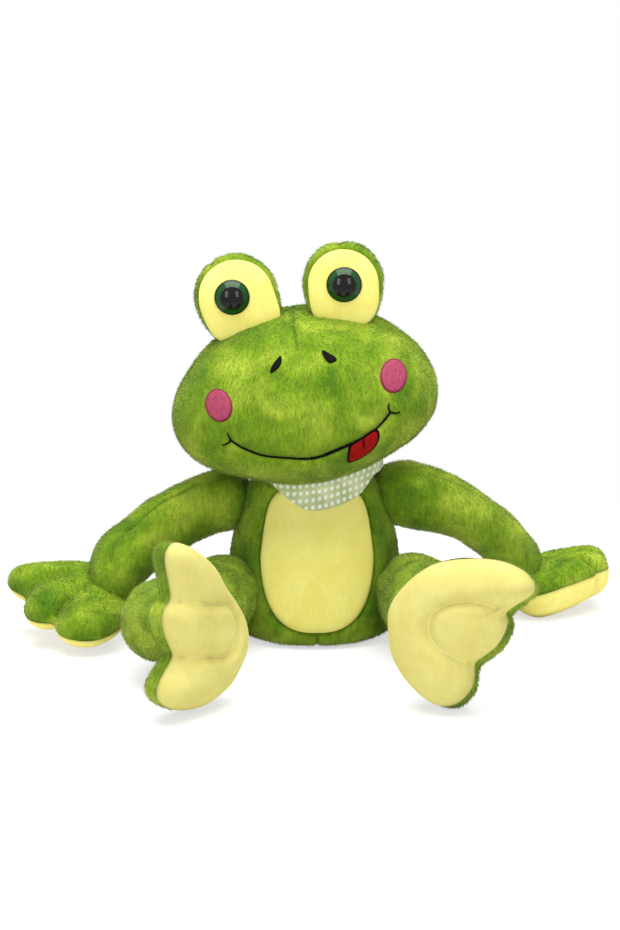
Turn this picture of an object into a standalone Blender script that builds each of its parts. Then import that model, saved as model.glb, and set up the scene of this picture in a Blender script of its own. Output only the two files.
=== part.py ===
"""A seated plush frog: skins sewn from panels, their stuffing, eyes, stitched face and neckerchief.

Lengths are metres, +Z is up and the frog faces -Y, so its own left side is at +X.
The floor is Z = 0. The frog's middle stands over the origin, so the seat lies behind it.
"""

from math import cos, pi, radians, sin

import bmesh
import bpy
from mathutils import Matrix, Vector

SKIN = 0.0016  # plush cloth with its backing
GAP = 0.0003  # between touching pieces
FILL_PLAY = 0.0006  # between a skin and its stuffing
SEAM_PLAY = 0.0012  # between a round limb end and the dimple that it sits in
NECK_PLAY = 0.0006  # between the neck and the torso and head that it joins
OVERRUN = 0.01  # by which a cutter passes through what it cuts

SEAT = Vector((-0.0047, 0.0687, 0))  # middle of the frog on the floor
TORSO_SIDE = 0.003  # of the torso's middle from the frog's

TORSO_HEIGHT = 0.1010
TORSO_WIDTH = 0.109
TORSO_DEPTH = 0.098
TORSO_TWIST = 2.2  # how square its level sections are

NECK_RADIUS = 0.0180
NECK_SIDE = 0.001
NECK_FORWARD = 0.009
NECK_BALL_HEIGHT = 0.1200  # of the pivot on which the head nods
NECK_DEPTH = 0.012  # by which the neck reaches into the torso
NOD_BACK = 18.0  # degrees by which the head can tip back on the neck

HEAD_WIDTH = 0.171
HEAD_DEPTH = 0.106
HEAD_TOP = 0.0600  # from its widest level up
HEAD_BOTTOM = 0.0460  # from its widest level down
HEAD_HEIGHT = 0.1525  # of its widest level over the floor
HEAD_FORWARD = 0.020
HEAD_SIDE = -0.0028
HEAD_ROLL = -9.0
HEAD_LEAST = 0.004  # half width of its smallest ring

STALK_RADIUS = 0.0248
STALK_FOOT = 0.034  # from its middle down into the head
STALK_THICKNESS = 0.031
STALK_FORWARD = 0.018
STALK_PLACES = {"right": (-0.0478, 0.2225, -19.0), "left": (0.0205, 0.2322, -2.0)}

EYE_RADIUS = 0.011
EYE_DOME = 0.0062
EYE_STEM_RADIUS = 0.0024
EYE_STEM_LENGTH = 0.0125
WASHER_RADIUS = 0.0075
WASHER_THICKNESS = 0.0016

BELLY_WIDTH = 0.073
BELLY_HEIGHT = 0.094
BELLY_BASE = 0.007
BELLY_SIDE = 0.004
PANEL = 0.0014  # thickness of a panel or patch of cloth that lies on the skin

PELLET_BAG_RADIUS = 0.026
PELLET_BAG_HEIGHT = 0.018
PELLET_BAG_BACK = 0.004

ARM_ROOT_RADIUS = 0.0205
WRIST_RADIUS = 0.0150
ARM_PATHS = {
    "right": [(-0.0570, 0.000, 0.0860), (-0.083, -0.005, 0.0790), (-0.110, -0.018, 0.0625),
              (-0.1270, -0.030, 0.0430)],
    "left": [(0.0635, 0.000, 0.0890), (0.090, 0.001, 0.0800), (0.117, 0.008, 0.0640),
             (0.1420, 0.018, 0.0430)],
}
HAND_LENGTH = 0.070
HAND_THICKNESS = 0.031

LEG_ROOT_RADIUS = 0.0235
LEG_CALF_RADIUS = 0.0235
ANKLE_RADIUS = 0.0195
LEG_PATHS = {
    "right": [(-0.050, -0.040, 0.0320), (-0.072, -0.074, 0.0345), (-0.091, -0.112, 0.0360),
              (-0.0783, -0.1508, 0.0450)],
    "left": [(0.056, -0.040, 0.0320), (0.075, -0.076, 0.0370), (0.084, -0.113, 0.0440),
             (0.0810, -0.1526, 0.0530)],
}
HAND_PLACES = {
    "right": ((-0.1495, -0.0337, 0.0264), (-0.82, -0.57, -0.20), (-0.10, -0.50, 1.0)),
    "left": ((0.1610, 0.0402, 0.0242), (0.86, -0.50, -0.18), (0.25, -0.45, 1.0)),
}
FOOT_PLACES = {
    "right": ((-0.0628, -0.1817, 0.0514), (-0.62, -0.78, -0.03), (-0.78, 0.62, 0.0)),
    "left": ((0.0851, -0.1867, 0.0551), (0.78, -0.30, -0.54), (0.34, 0.93, 0.0)),
}
FOOT_LENGTH = 0.082
FOOT_THICKNESS = 0.032

SCARF_CLOTH = 0.0016
SCARF_LIFT = 0.0004
SCARF_DROP = 0.0135
SCARF_BACK = 0.006
SCARF_TIP_SIDE = 0.003
CHEEK_WIDTH = 0.0162
CHEEK_HEIGHT = 0.0200
NOSTRIL_LENGTH = 0.0116
MOUTH_STITCH = 0.0016
TONGUE_LENGTH = 0.0205
TONGUE_WIDTH = 0.0190
CHEEK_PLACES = {"right": (-0.0570, 0.1583, 8), "left": (0.0522, 0.1764, 12)}
NOSTRIL_PLACES = {"right": (-0.0219, 0.1864, 57), "left": (0.0115, 0.1909, -41)}
MOUTH_LINE = [
    (-0.0494, 0.1367), (-0.0386, 0.1326), (-0.0289, 0.1304), (-0.0124, 0.1296), (-0.0043, 0.1291),
    (0.0043, 0.1303), (0.0136, 0.1336), (0.0254, 0.1380), (0.0410, 0.1462), (0.0502, 0.1545),
]
MOUTH_WIDTH_SHARES = (0.8, 1, 1, 1.1, 1.3, 1.3, 1.0, 0.8, 0.9, 0.8)
TONGUE_TOP = (0.0338, 0.1428)
TONGUE_LEAN = 30

ROUND_SIDES = 20
# How far the sewn edge of a hand or foot lies from its middle, as shares of its length, at even angles
# that start straight ahead and turn over its side: three round toes and a narrow heel.
HAND_REACH_SHARES = (
    0.509, 0.467, 0.436, 0.520, 0.598, 0.633, 0.643, 0.619, 0.575, 0.526, 0.487, 0.455, 0.430, 0.412,
    0.408, 0.420, 0.452, 0.490, 0.517, 0.539, 0.572, 0.627, 0.712, 0.748, 0.621, 0.488, 0.491, 0.511,
)
FOOT_REACH_SHARES = {
    "right": (
        0.388, 0.431, 0.455, 0.458, 0.591, 0.721, 0.643, 0.527, 0.442, 0.374, 0.339, 0.332, 0.345, 0.379,
        0.443, 0.500, 0.523, 0.527, 0.545, 0.562, 0.562, 0.564, 0.584, 0.608, 0.633, 0.616, 0.427, 0.360,
    ),
    "left": (
        0.316, 0.303, 0.312, 0.412, 0.559, 0.618, 0.615, 0.592, 0.568, 0.549, 0.529, 0.511, 0.497, 0.474,
        0.453, 0.444, 0.444, 0.449, 0.459, 0.481, 0.518, 0.573, 0.632, 0.638, 0.496, 0.373, 0.357, 0.338,
    ),
}
BACK_SHARE = 0.545  # of a hand's or foot's thickness, on its back half
POLE_SHARE = 0.945  # of a stuffed form's half thickness, in its flat middle

COLOURS = {
    "green_plush": ((0.30, 0.44, 0.055), 0.95),
    "yellow_plush": ((0.76, 0.70, 0.20), 0.95),
    "polyester_fill": ((0.90, 0.90, 0.88), 1.0),
    "pellet_cloth": ((0.82, 0.82, 0.80), 0.9),
    "eye_plastic": ((0.01, 0.03, 0.012), 0.06),
    "washer_plastic": ((0.85, 0.85, 0.83), 0.5),
    "black_thread": ((0.012, 0.012, 0.012), 0.7),
    "pink_thread": ((0.70, 0.09, 0.31), 0.6),
    "red_thread": ((0.62, 0.012, 0.012), 0.6),
    "sage_cotton": ((0.50, 0.60, 0.36), 0.85),
}


def material(name):
    """The plain material of one kind of cloth, thread or plastic."""
    made = bpy.data.materials.get(name)
    if made:
        return made
    made = bpy.data.materials.new(name)
    made.use_nodes = True
    shader = made.node_tree.nodes["Principled BSDF"]
    colour, roughness = COLOURS[name]
    shader.inputs["Base Color"].default_value = (*colour, 1)
    shader.inputs["Roughness"].default_value = roughness
    shader.inputs["Metallic"].default_value = 0
    return made


def clear_scene():
    for thing in list(bpy.data.objects):
        bpy.data.objects.remove(thing)


def joint_point(name, place):
    """An empty on a joint's axis, to which the moving pieces are parented."""
    empty = bpy.data.objects.new(name, None)
    empty.location = place
    bpy.context.collection.objects.link(empty)
    bpy.context.view_layer.update()
    return empty


def piece(name, mesh_data, slot, carrier=None, smooth_angle=50):
    """An object of its own for one closed mesh given in world places."""
    mesh_data.normal_update()
    mesh = bpy.data.meshes.new(name)
    mesh_data.to_mesh(mesh)
    mesh_data.free()
    mesh.shade_smooth()
    mesh.set_sharp_from_angle(angle=radians(smooth_angle))
    made = bpy.data.objects.new(name, mesh)
    made.data.materials.append(material(slot))
    bpy.context.collection.objects.link(made)
    if carrier:
        made.data.transform(Matrix.Translation(-carrier.matrix_world.translation))
        made.parent = carrier
    return made


def cutter(name, mesh_data):
    """A guide shape that only cuts other pieces."""
    mesh = bpy.data.meshes.new(name)
    mesh_data.to_mesh(mesh)
    mesh_data.free()
    made = bpy.data.objects.new(name, mesh)
    made.hide_render = True
    made.display_type = "WIRE"
    bpy.context.collection.objects.link(made)
    return made


def cut(target, *tools, operation="DIFFERENCE"):
    for tool in tools:
        step = target.modifiers.new(tool.name, "BOOLEAN")
        step.object = tool
        step.operation = operation
        step.solver = "EXACT"


def rings_solid(rings, first=None, last=None):
    """A closed solid through rings of equally many points, with a point or a flat fan at each end."""
    made = bmesh.new()
    rows = [[made.verts.new(p) for p in ring] for ring in rings]
    count = len(rows[0])
    for low, high in zip(rows, rows[1:]):
        for i in range(count):
            j = (i + 1) % count
            made.faces.new((low[i], low[j], high[j]))
            made.faces.new((low[i], high[j], high[i]))
    for row, tip, turned in ((rows[0], first, True), (rows[-1], last, False)):
        middle = tip or sum((v.co for v in row), Vector()) / count
        point = made.verts.new(middle)
        for i in range(count):
            a, b = row[i], row[(i + 1) % count]
            made.faces.new((b, a, point) if turned else (a, b, point))
    bmesh.ops.recalc_face_normals(made, faces=made.faces)
    return made


def section(centre, across, up, half_width, half_height, sides=ROUND_SIDES, square=2.0):
    """One ring: an ellipse, or squarer with a higher power, round a centre."""
    points = []
    for i in range(sides):
        angle = 2 * pi * i / sides
        c, s = cos(angle), sin(angle)
        reach = (abs(c) ** square + abs(s) ** square) ** (-1 / square)
        points.append(centre + across * (half_width * reach * c) + up * (half_height * reach * s))
    return points


def ball(centre, radius, sides=ROUND_SIDES):
    """A closed sphere."""
    made = bmesh.new()
    bmesh.ops.create_uvsphere(
        made, u_segments=sides, v_segments=sides // 2, radius=radius,
        matrix=Matrix.Translation(centre),
    )
    return made


def turned(points, place, axis, sides=ROUND_SIDES):
    """A solid of revolution: radius and height pairs about an axis through place."""
    axis = axis.normalized()
    across = axis.orthogonal().normalized()
    up = axis.cross(across)
    rings = [section(place + axis * h, across, up, r, r, sides) for r, h in points[1:-1]]
    return rings_solid(rings, place + axis * points[0][1], place + axis * points[-1][1])


def curve_point(path, share):
    """A point on the smooth curve through a path's points."""
    spans = len(path) - 1
    at = min(max(share, 0.0) * spans, spans - 1e-9)
    i = int(at)
    t = at - i
    p0, p1 = path[max(i - 1, 0)], path[i]
    p2, p3 = path[i + 1], path[min(i + 2, spans)]
    return 0.5 * (
        2 * p1 + (p2 - p0) * t + (2 * p0 - 5 * p1 + 4 * p2 - p3) * t**2
        + (3 * p1 - p0 - 3 * p2 + p3) * t**3
    )


def limb(path, radius_at, inset, sides=16, steps=9):
    """A limb along a curve, with a hemisphere at each end round the path's end points."""
    rings = []
    tips = []
    for end in (0, 1):
        radius = radius_at(end) - inset
        centre = curve_point(path, end)
        near = curve_point(path, 0.02 if end == 0 else 0.98)
        away = (centre - near).normalized()
        across = away.cross(Vector((0, 0, 1))).normalized()
        up = Vector((0, 0, 1)) - away * away.z
        up.normalize()
        caps = []
        for degrees in (20, 45, 70):
            lift = radius * cos(radians(degrees))
            wide = radius * sin(radians(degrees))
            caps.append(section(centre + away * lift, across, up, wide, wide, sides))
        tips.append((centre + away * radius, caps))
    body = []
    for i in range(steps):
        share = i / (steps - 1)
        centre = curve_point(path, share)
        ahead = curve_point(path, min(share + 0.02, 1)) - curve_point(path, max(share - 0.02, 0))
        ahead.normalize()
        across = (-ahead).cross(Vector((0, 0, 1))).normalized()
        up = Vector((0, 0, 1)) - ahead * ahead.z
        up.normalize()
        radius = radius_at(share) - inset
        body.append(section(centre, across, up, radius, radius, sides))
    start_tip, start_caps = tips[0]
    end_tip, end_caps = tips[1]
    # the far cap turns the other way round, so its rings are mirrored to match the body's
    matched = [[ring[(sides // 2 - i) % sides] for i in range(sides)] for ring in end_caps]
    rings = start_caps + body + matched[::-1]
    return rings_solid(rings, start_tip, end_tip)


def smooth_share(value, low, high):
    """0 below low, 1 above high, and an even rise between them."""
    t = min(max((value - low) / (high - low), 0.0), 1.0)
    return t * t * (3 - 2 * t)


def edge_reach(angle, shares, length):
    """How far a hand's or foot's sewn edge lies from its middle."""
    turn = angle / (2 * pi) % 1 * len(shares)
    before = int(turn) % len(shares)
    after = (before + 1) % len(shares)
    part = turn - int(turn)
    return length * (shares[before] * (1 - part) + shares[after] * part)


def mirrored(shares):
    """The same edge turned over, for the other hand."""
    return shares[:1] + shares[:0:-1]


class Pillow:
    """A flat stuffed form with a seam round its edge, in its own frame: x ahead, z out of its back."""

    def __init__(self, reach, back, front, frame, sides=40):
        self.reach = reach
        self.back = back
        self.front = front
        self.frame = frame
        self.sides = sides

    def ring(self, degrees, inset, squareness=0.62):
        """A ring at an angle down from the top of the back, 90 being the seam."""
        tall = (self.back if degrees < 90 else self.front) - inset
        lift = tall * cos(radians(degrees))
        wide = sin(radians(degrees)) ** squareness
        points = []
        for i in range(self.sides):
            angle = 2 * pi * i / self.sides
            out = (self.reach(angle) - inset) * wide
            points.append(self.frame @ Vector((out * cos(angle), out * sin(angle), lift)))
        return points

    def pole(self, side, inset):
        """The middle of one half, a little flatter than a dome's."""
        tall = ((self.back if side == "back" else self.front) - inset) * POLE_SHARE
        return self.frame @ Vector((0, 0, tall if side == "back" else -tall))

    def panel(self, side):
        """One half of the skin: an open bowl from the middle to the seam."""
        seam = degrees_of(GAP / 2, self.back if side == "back" else self.front)
        angles = [24, 62, 90 - seam]
        if side == "front":
            angles = [180 - a for a in angles]
        outer = [self.ring(a, 0) for a in angles]
        inner = [self.ring(a, SKIN) for a in angles]
        return rings_solid(outer + inner[::-1], self.pole(side, 0), self.pole(side, SKIN))

    def core(self):
        """The stuffing inside both halves."""
        rings = [self.ring(a, SKIN + FILL_PLAY) for a in (24, 62, 90, 118, 156)]
        return rings_solid(rings, self.pole("back", SKIN + FILL_PLAY), self.pole("front", SKIN + FILL_PLAY))


def degrees_of(distance, radius):
    return distance / radius * 180 / pi


def framed(place, ahead, out):
    """The frame at a place whose x points ahead and whose z points out."""
    x = Vector(ahead).normalized()
    z = (Vector(out) - x * x.dot(Vector(out))).normalized()
    y = z.cross(x)
    turn = Matrix((x, y, z)).transposed().to_4x4()
    return Matrix.Translation(place) @ turn


def at_seat(x, y, z):
    return SEAT + Vector((x, y, z))


def torso_form(inset, sides=22):
    """The pear shape of the torso, from the flat seat up to the neck."""
    level_shares = (0.0, 0.05, 0.14, 0.28, 0.45, 0.62, 0.78, 0.89, 0.96, 1.0)
    width_shares = (0.50, 0.78, 0.95, 1.0, 0.99, 0.95, 0.87, 0.75, 0.60, 0.40)
    depth_shares = (0.46, 0.76, 0.97, 1.0, 0.96, 0.88, 0.79, 0.69, 0.57, 0.40)
    lean_shares = (0.0, 0.0, 0.0, 0.0, 0.02, 0.05, 0.09, 0.13, 0.15, 0.16)
    rings = []
    for share, wide, deep, lean in zip(level_shares, width_shares, depth_shares, lean_shares):
        height = inset + share * (TORSO_HEIGHT - 2 * inset)
        centre = at_seat(TORSO_SIDE, -lean * TORSO_DEPTH / 2, height)
        half_wide = wide * TORSO_WIDTH / 2 - inset
        half_deep = deep * TORSO_DEPTH / 2 - inset
        rings.append(section(
            centre, Vector((1, 0, 0)), Vector((0, 1, 0)), half_wide, half_deep, sides, TORSO_TWIST
        ))
    return rings_solid(rings)


def head_frame():
    place = at_seat(HEAD_SIDE, -HEAD_FORWARD, HEAD_HEIGHT)
    return Matrix.Translation(place) @ Matrix.Rotation(radians(HEAD_ROLL), 4, "Y")


def head_section(share):
    """Half width, half depth and forward shift of the head at a share of its height, -1 to 1."""
    if share >= 0:
        wide = (1 - share**2) ** 0.60
        deep = (1 - share**2.2) ** 0.52
    else:
        wide = (1 - (-share) ** 2.1) ** 0.60
        deep = (1 - (-share) ** 2.8) ** 0.45
    return wide, deep, -0.05 * cos(pi * (share + 0.35) / 2)


def head_form(inset, sides=28, rows=10):
    """The wide rounded triangle of the head, widest low down at the cheeks."""
    turn = head_frame()
    rings = []
    for i in range(1, rows):
        share = -cos(pi * i / rows)
        tall = (HEAD_TOP if share > 0 else HEAD_BOTTOM) - inset
        wide, deep, forward = head_section(share)
        centre = Vector((0, forward * HEAD_DEPTH, share * tall))
        half_wide = max(wide * HEAD_WIDTH / 2 - inset, HEAD_LEAST)
        half_deep = max(deep * HEAD_DEPTH / 2 - inset, HEAD_LEAST)
        ring = section(centre, Vector((1, 0, 0)), Vector((0, 1, 0)), half_wide, half_deep, sides, 2.15)
        rings.append([turn @ p for p in ring])
    low = turn @ Vector((0, -0.03 * HEAD_DEPTH, inset - HEAD_BOTTOM))
    high = turn @ Vector((0, -0.03 * HEAD_DEPTH, HEAD_TOP - inset))
    return rings_solid(rings, low, high)


def arm_radius(share):
    return ARM_ROOT_RADIUS + (WRIST_RADIUS - ARM_ROOT_RADIUS) * smooth_share(share, 0.2, 0.85)


def leg_radius(share):
    if share < 0.6:
        return LEG_ROOT_RADIUS + (LEG_CALF_RADIUS - LEG_ROOT_RADIUS) * smooth_share(share, 0, 0.5)
    return LEG_CALF_RADIUS + (ANKLE_RADIUS - LEG_CALF_RADIUS) * smooth_share(share, 0.6, 1.0)


def placed(path):
    return [at_seat(*p) for p in path]


def add_limb(kind, side, path, radius_at, sides, steps):
    """The skin tube of an arm or leg, open at both seams, and the stuffing in it."""
    pivot = path[0]
    joint = joint_point(f"{kind}_{side}_joint", pivot)
    skin = piece(f"{kind}_skin_{side}", limb(path, radius_at, 0, sides, steps), "green_plush", joint)
    hollow = cutter(f"{kind}_hollow_{side}", limb(path, radius_at, SKIN, sides, steps))
    toward_root = (path[0] - curve_point(path, 0.05)).normalized()
    toward_end = (path[-1] - curve_point(path, 0.95)).normalized()
    mouths = []
    for end, direction, share in ((path[0], toward_root, 0), (path[-1], toward_end, 1)):
        radius = radius_at(share)
        mouths.append(cutter(
            f"{kind}_mouth_{side}_{share}",
            turned(
                [(0, 0), (radius * 0.45, 0), (radius * 0.45, radius + OVERRUN), (0, radius + OVERRUN)],
                end, direction, 12,
            ),
        ))
    cut(skin, hollow, *mouths)
    piece(
        f"{kind}_stuffing_{side}",
        limb(path, radius_at, SKIN + FILL_PLAY, sides, steps), "polyester_fill", joint,
    )


def neck_place(height=0.0):
    return at_seat(NECK_SIDE, -NECK_FORWARD, height)


def neck_form(grow):
    """A short round neck: straight in the torso, with a ball on top for the head."""
    base = TORSO_HEIGHT - NECK_DEPTH - grow
    radius = NECK_RADIUS + grow
    points = [(0, base), (radius * 0.9, base), (radius, base + 0.1 * radius), (radius, NECK_BALL_HEIGHT)]
    for degrees in (72, 54, 36, 18):
        points.append((radius * sin(radians(degrees)), NECK_BALL_HEIGHT + radius * cos(radians(degrees))))
    points.append((0, NECK_BALL_HEIGHT + radius))
    return turned(points, neck_place(), Vector((0, 0, 1)))


def limb_pockets():
    """Cutters for the dimples in which the round limb ends sit on the torso."""
    pockets = []
    for kind, paths, radius in (("arm", ARM_PATHS, ARM_ROOT_RADIUS), ("leg", LEG_PATHS, LEG_ROOT_RADIUS)):
        for side, path in paths.items():
            centre = at_seat(*path[0])
            pockets.append(cutter(f"{kind}_pocket_{side}", ball(centre, radius + SEAM_PLAY, 16)))
    return pockets


def add_torso():
    """The torso's skin, belly panel, stuffing and the pellet bag that keeps it seated."""
    pockets = limb_pockets()
    neck_hole = cutter("neck_hole", neck_form(NECK_PLAY))
    skin = piece("torso_skin", torso_form(0), "green_plush")
    hollow = cutter("torso_hollow", torso_form(SKIN))
    window = cutter("belly_window", belly_form(GAP, 2 * TORSO_DEPTH, TORSO_DEPTH))
    cut(skin, hollow, neck_hole, *pockets, window)
    belly = piece("belly_panel", torso_form(0), "yellow_plush")
    frame = cutter("belly_outline", belly_form(0, 2 * TORSO_DEPTH, TORSO_DEPTH))
    cut(belly, frame, operation="INTERSECT")
    cut(belly, hollow, neck_hole, *pockets)
    stuffing = piece("torso_stuffing", torso_form(SKIN + FILL_PLAY), "polyester_fill")
    bag_room = cutter("pellet_room", pellet_form(GAP))
    bag_way = cutter("pellet_way", pellet_way_form())
    cut(stuffing, neck_hole, *pockets, bag_room, bag_way)
    piece("pellet_bag", pellet_form(0), "pellet_cloth")


def belly_form(grow, length, back):
    """A flat-backed oval bar through the front of the torso, for the belly panel's outline."""
    tall = BELLY_HEIGHT + 2 * grow
    wide = BELLY_WIDTH + 2 * grow
    middle = at_seat(BELLY_SIDE, 0, BELLY_BASE - grow + tall / 2)
    rings = []
    for y in (-length / 2, -GAP / 2):
        ring = []
        for i in range(28):
            angle = 2 * pi * i / 28
            c, s = cos(angle), sin(angle)
            reach = (abs(c) ** 2.6 + abs(s) ** 2.6) ** (-1 / 2.6)
            narrow = 1 - 0.16 * smooth_share(s, -0.2, 1.0)
            ring.append(middle + Vector((wide / 2 * reach * c * narrow, y, tall / 2 * reach * s)))
        rings.append(ring)
    return rings_solid(rings)


def pellet_form(grow):
    """A flattened round bag of pellets that lies at the bottom of the torso."""
    radius = PELLET_BAG_RADIUS + grow
    half = PELLET_BAG_HEIGHT / 2 + grow
    middle = SKIN + 3 * GAP + PELLET_BAG_HEIGHT / 2
    points = [(0, middle - half)]
    for degrees in (30, 60, 90, 120, 150):
        points.append((radius * sin(radians(degrees)) ** 0.6, middle - half * cos(radians(degrees))))
    points.append((0, middle + half))
    return turned(points, at_seat(TORSO_SIDE, PELLET_BAG_BACK, 0), Vector((0, 0, 1)), 20)


def pellet_way_form():
    """The way through the stuffing's underside by which the pellet bag went in."""
    radius = PELLET_BAG_RADIUS * 0.6
    points = [(0, -OVERRUN), (radius, -OVERRUN), (radius, PELLET_BAG_HEIGHT / 2), (0, PELLET_BAG_HEIGHT / 2)]
    return turned(points, at_seat(TORSO_SIDE, PELLET_BAG_BACK, 0), Vector((0, 0, 1)), 16)


def add_neck():
    joint = joint_point("neck_joint", neck_place(TORSO_HEIGHT))
    piece("neck", neck_form(0), "green_plush", joint)


def stalk_frame(side):
    x, z, lean = STALK_PLACES[side]
    place = at_seat(x, -STALK_FORWARD, z)
    turn = Matrix.Rotation(radians(lean), 4, "Y")
    up = turn @ Vector((0, 0, 1))
    return framed(place, up, Vector((0, 1, -0.10)))


def stalk_reach(angle):
    """The eye stalk's edge: a circle that runs down into the head."""
    down = max(-cos(angle), 0.0)
    return STALK_RADIUS + (STALK_FOOT - STALK_RADIUS) * down**3


def stalk_pillow(side):
    half = STALK_THICKNESS / 2
    return Pillow(stalk_reach, half * 1.1, half * 0.9, stalk_frame(side), 18)


def eye_axis(side):
    turn = stalk_frame(side).to_3x3()
    return (turn @ Vector((0, 0, -1))).normalized()


def eye_form(side, grow):
    """A glossy dome outside the panel and its stem through it."""
    half = STALK_THICKNESS * 0.45 * POLE_SHARE
    points = [(0, half + EYE_DOME + grow)]
    for degrees in (25, 48, 70, 90):
        points.append((
            (EYE_RADIUS + grow) * sin(radians(degrees)),
            half + GAP + (EYE_DOME + grow) * cos(radians(degrees)),
        ))
    stem = EYE_STEM_RADIUS + grow
    points += [
        (EYE_RADIUS * 0.9 + grow, half + GAP / 2 - grow),
        (stem, half + GAP / 2 - grow),
        (stem, half - EYE_STEM_LENGTH - grow),
        (0, half - EYE_STEM_LENGTH - grow),
    ]
    return turned(points[::-1], stalk_frame(side).translation, eye_axis(side), 18)


def washer_form(side, grow):
    """The locking washer on the stem behind the panel."""
    top = (STALK_THICKNESS * 0.45 - SKIN) * POLE_SHARE - 2 * GAP + grow
    low = top - WASHER_THICKNESS - 2 * grow
    radius = WASHER_RADIUS + grow
    points = [(0, low), (radius, low), (radius, top), (0, top)]
    return turned(points, stalk_frame(side).translation, eye_axis(side), 10)


def add_stalk(side, joint, head_room):
    """One eye stalk: green back, yellow front, stuffing, safety eye and washer."""
    pillow = stalk_pillow(side)
    back = piece(f"eye_stalk_back_{side}", pillow.panel("back"), "green_plush", joint)
    front = piece(f"eye_stalk_front_{side}", pillow.panel("front"), "yellow_plush", joint)
    stuffing = piece(f"eye_stalk_stuffing_{side}", pillow.core(), "polyester_fill", joint)
    eye_room = cutter(f"eye_room_{side}", eye_form(side, GAP))
    washer_room = cutter(f"washer_room_{side}", washer_form(side, GAP))
    cut(back, head_room)
    cut(front, head_room, eye_room)
    cut(stuffing, head_room, eye_room, washer_room)
    piece(f"safety_eye_{side}", eye_form(side, 0), "eye_plastic", joint, 35)
    washer = piece(f"eye_washer_{side}", washer_form(side, 0), "washer_plastic", joint, 35)
    cut(washer, eye_room)


def outline_bar(points, front, back):
    """A bar along Y whose outline is given as X and Z pairs."""
    rings = [[Vector((x, y, z)) for x, z in points] for y in (front, back)]
    made = bmesh.new()
    rows = [[made.verts.new(p) for p in ring] for ring in rings]
    count = len(points)
    for i in range(count):
        j = (i + 1) % count
        made.faces.new((rows[0][i], rows[0][j], rows[1][j], rows[1][i]))
    made.faces.new(rows[0])
    made.faces.new(rows[1][::-1])
    bmesh.ops.recalc_face_normals(made, faces=made.faces)
    bmesh.ops.triangulate(made, faces=[f for f in made.faces if len(f.verts) > 4])
    return made


def seat_outline(points):
    return [(SEAT.x + x, z) for x, z in points]


def oval(x, z, half_wide, half_tall, lean, count=16):
    turn = radians(lean)
    points = []
    for i in range(count):
        angle = 2 * pi * i / count
        a, b = half_wide * cos(angle), half_tall * sin(angle)
        points.append((x + a * cos(turn) - b * sin(turn), z + a * sin(turn) + b * cos(turn)))
    return points


def ribbon(path, widths):
    """An outline round a line of X and Z points with a width at each."""
    left, right = [], []
    for i, (x, z) in enumerate(path):
        before, after = path[max(i - 1, 0)], path[min(i + 1, len(path) - 1)]
        run = Vector((after[0] - before[0], after[1] - before[1])).normalized()
        half = widths[i] / 2
        left.append((x - run.y * half, z + run.x * half))
        right.append((x + run.y * half, z - run.x * half))
    return left + right[::-1]


def face_patch(name, slot, points, joint, thickness, *others):
    """Stitching that lies on the head's skin, inside an outline seen from the front."""
    front = SEAT.y - HEAD_DEPTH
    back = SEAT.y - HEAD_FORWARD
    patch = piece(name, head_form(-GAP - thickness), slot, joint)
    shape = cutter(f"{name}_outline", outline_bar(seat_outline(points), front, back))
    under = cutter(f"{name}_under", head_form(-GAP))
    cut(patch, shape, operation="INTERSECT")
    cut(patch, under, *others)


def tongue_points():
    """A rounded flap that hangs from the mouth line."""
    turn = radians(TONGUE_LEAN)
    half = TONGUE_WIDTH / 2
    points = [(-half, 0), (half, 0)]
    for degrees in range(0, 181, 20):
        angle = radians(degrees)
        points.append((half * cos(angle), -TONGUE_LENGTH * 0.45 - TONGUE_LENGTH * 0.4 * sin(angle)))
    x, z = TONGUE_TOP
    return [(x + a * cos(turn) - b * sin(turn), z + a * sin(turn) + b * cos(turn)) for a, b in points]


def add_face(joint):
    """The stitched cheeks, nostrils, mouth and tongue."""
    stitch = PANEL * 0.6
    for side, (x, z, lean) in CHEEK_PLACES.items():
        points = oval(x, z, CHEEK_WIDTH / 2, CHEEK_HEIGHT / 2, lean)
        face_patch(f"cheek_{side}", "pink_thread", points, joint, stitch)
    for side, (x, z, lean) in NOSTRIL_PLACES.items():
        points = oval(x, z, NOSTRIL_LENGTH / 2, NOSTRIL_LENGTH * 0.22, lean, 10)
        face_patch(f"nostril_{side}", "black_thread", points, joint, stitch)
    widths = [MOUTH_STITCH * share for share in MOUTH_WIDTH_SHARES]
    mouth = ribbon(MOUTH_LINE, widths)
    face_patch("mouth", "black_thread", mouth, joint, stitch)
    widths = [width + 2 * GAP for width in widths]
    front = SEAT.y - HEAD_DEPTH
    back = SEAT.y - HEAD_FORWARD
    room = cutter("mouth_room", outline_bar(seat_outline(ribbon(MOUTH_LINE, widths)), front, back))
    above = [MOUTH_LINE[0], *MOUTH_LINE, MOUTH_LINE[-1]]
    lifted = [(x, z + HEAD_TOP) for x, z in above[::-1]]
    above_room = cutter("above_mouth", outline_bar(seat_outline(MOUTH_LINE + lifted[1:-1]), front, back))
    face_patch("tongue", "red_thread", tongue_points(), joint, stitch, room, above_room)


def add_head():
    """The head's skin and stuffing, the eye stalks sewn on top and the stitched face."""
    joint = joint_point("head_joint", neck_place(NECK_BALL_HEIGHT))
    skin = piece("head_skin", head_form(0), "green_plush", joint)
    hollow = cutter("head_hollow", head_form(SKIN, 22, 8))
    socket = cutter("head_socket", neck_room_form())
    cut(skin, hollow, socket)
    stuffing = piece("head_stuffing", head_form(SKIN + FILL_PLAY, 22, 8), "polyester_fill", joint)
    cut(stuffing, socket)
    head_room = cutter("head_room", head_form(-GAP))
    for side in STALK_PLACES:
        add_stalk(side, joint, head_room)
    add_face(joint)


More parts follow.
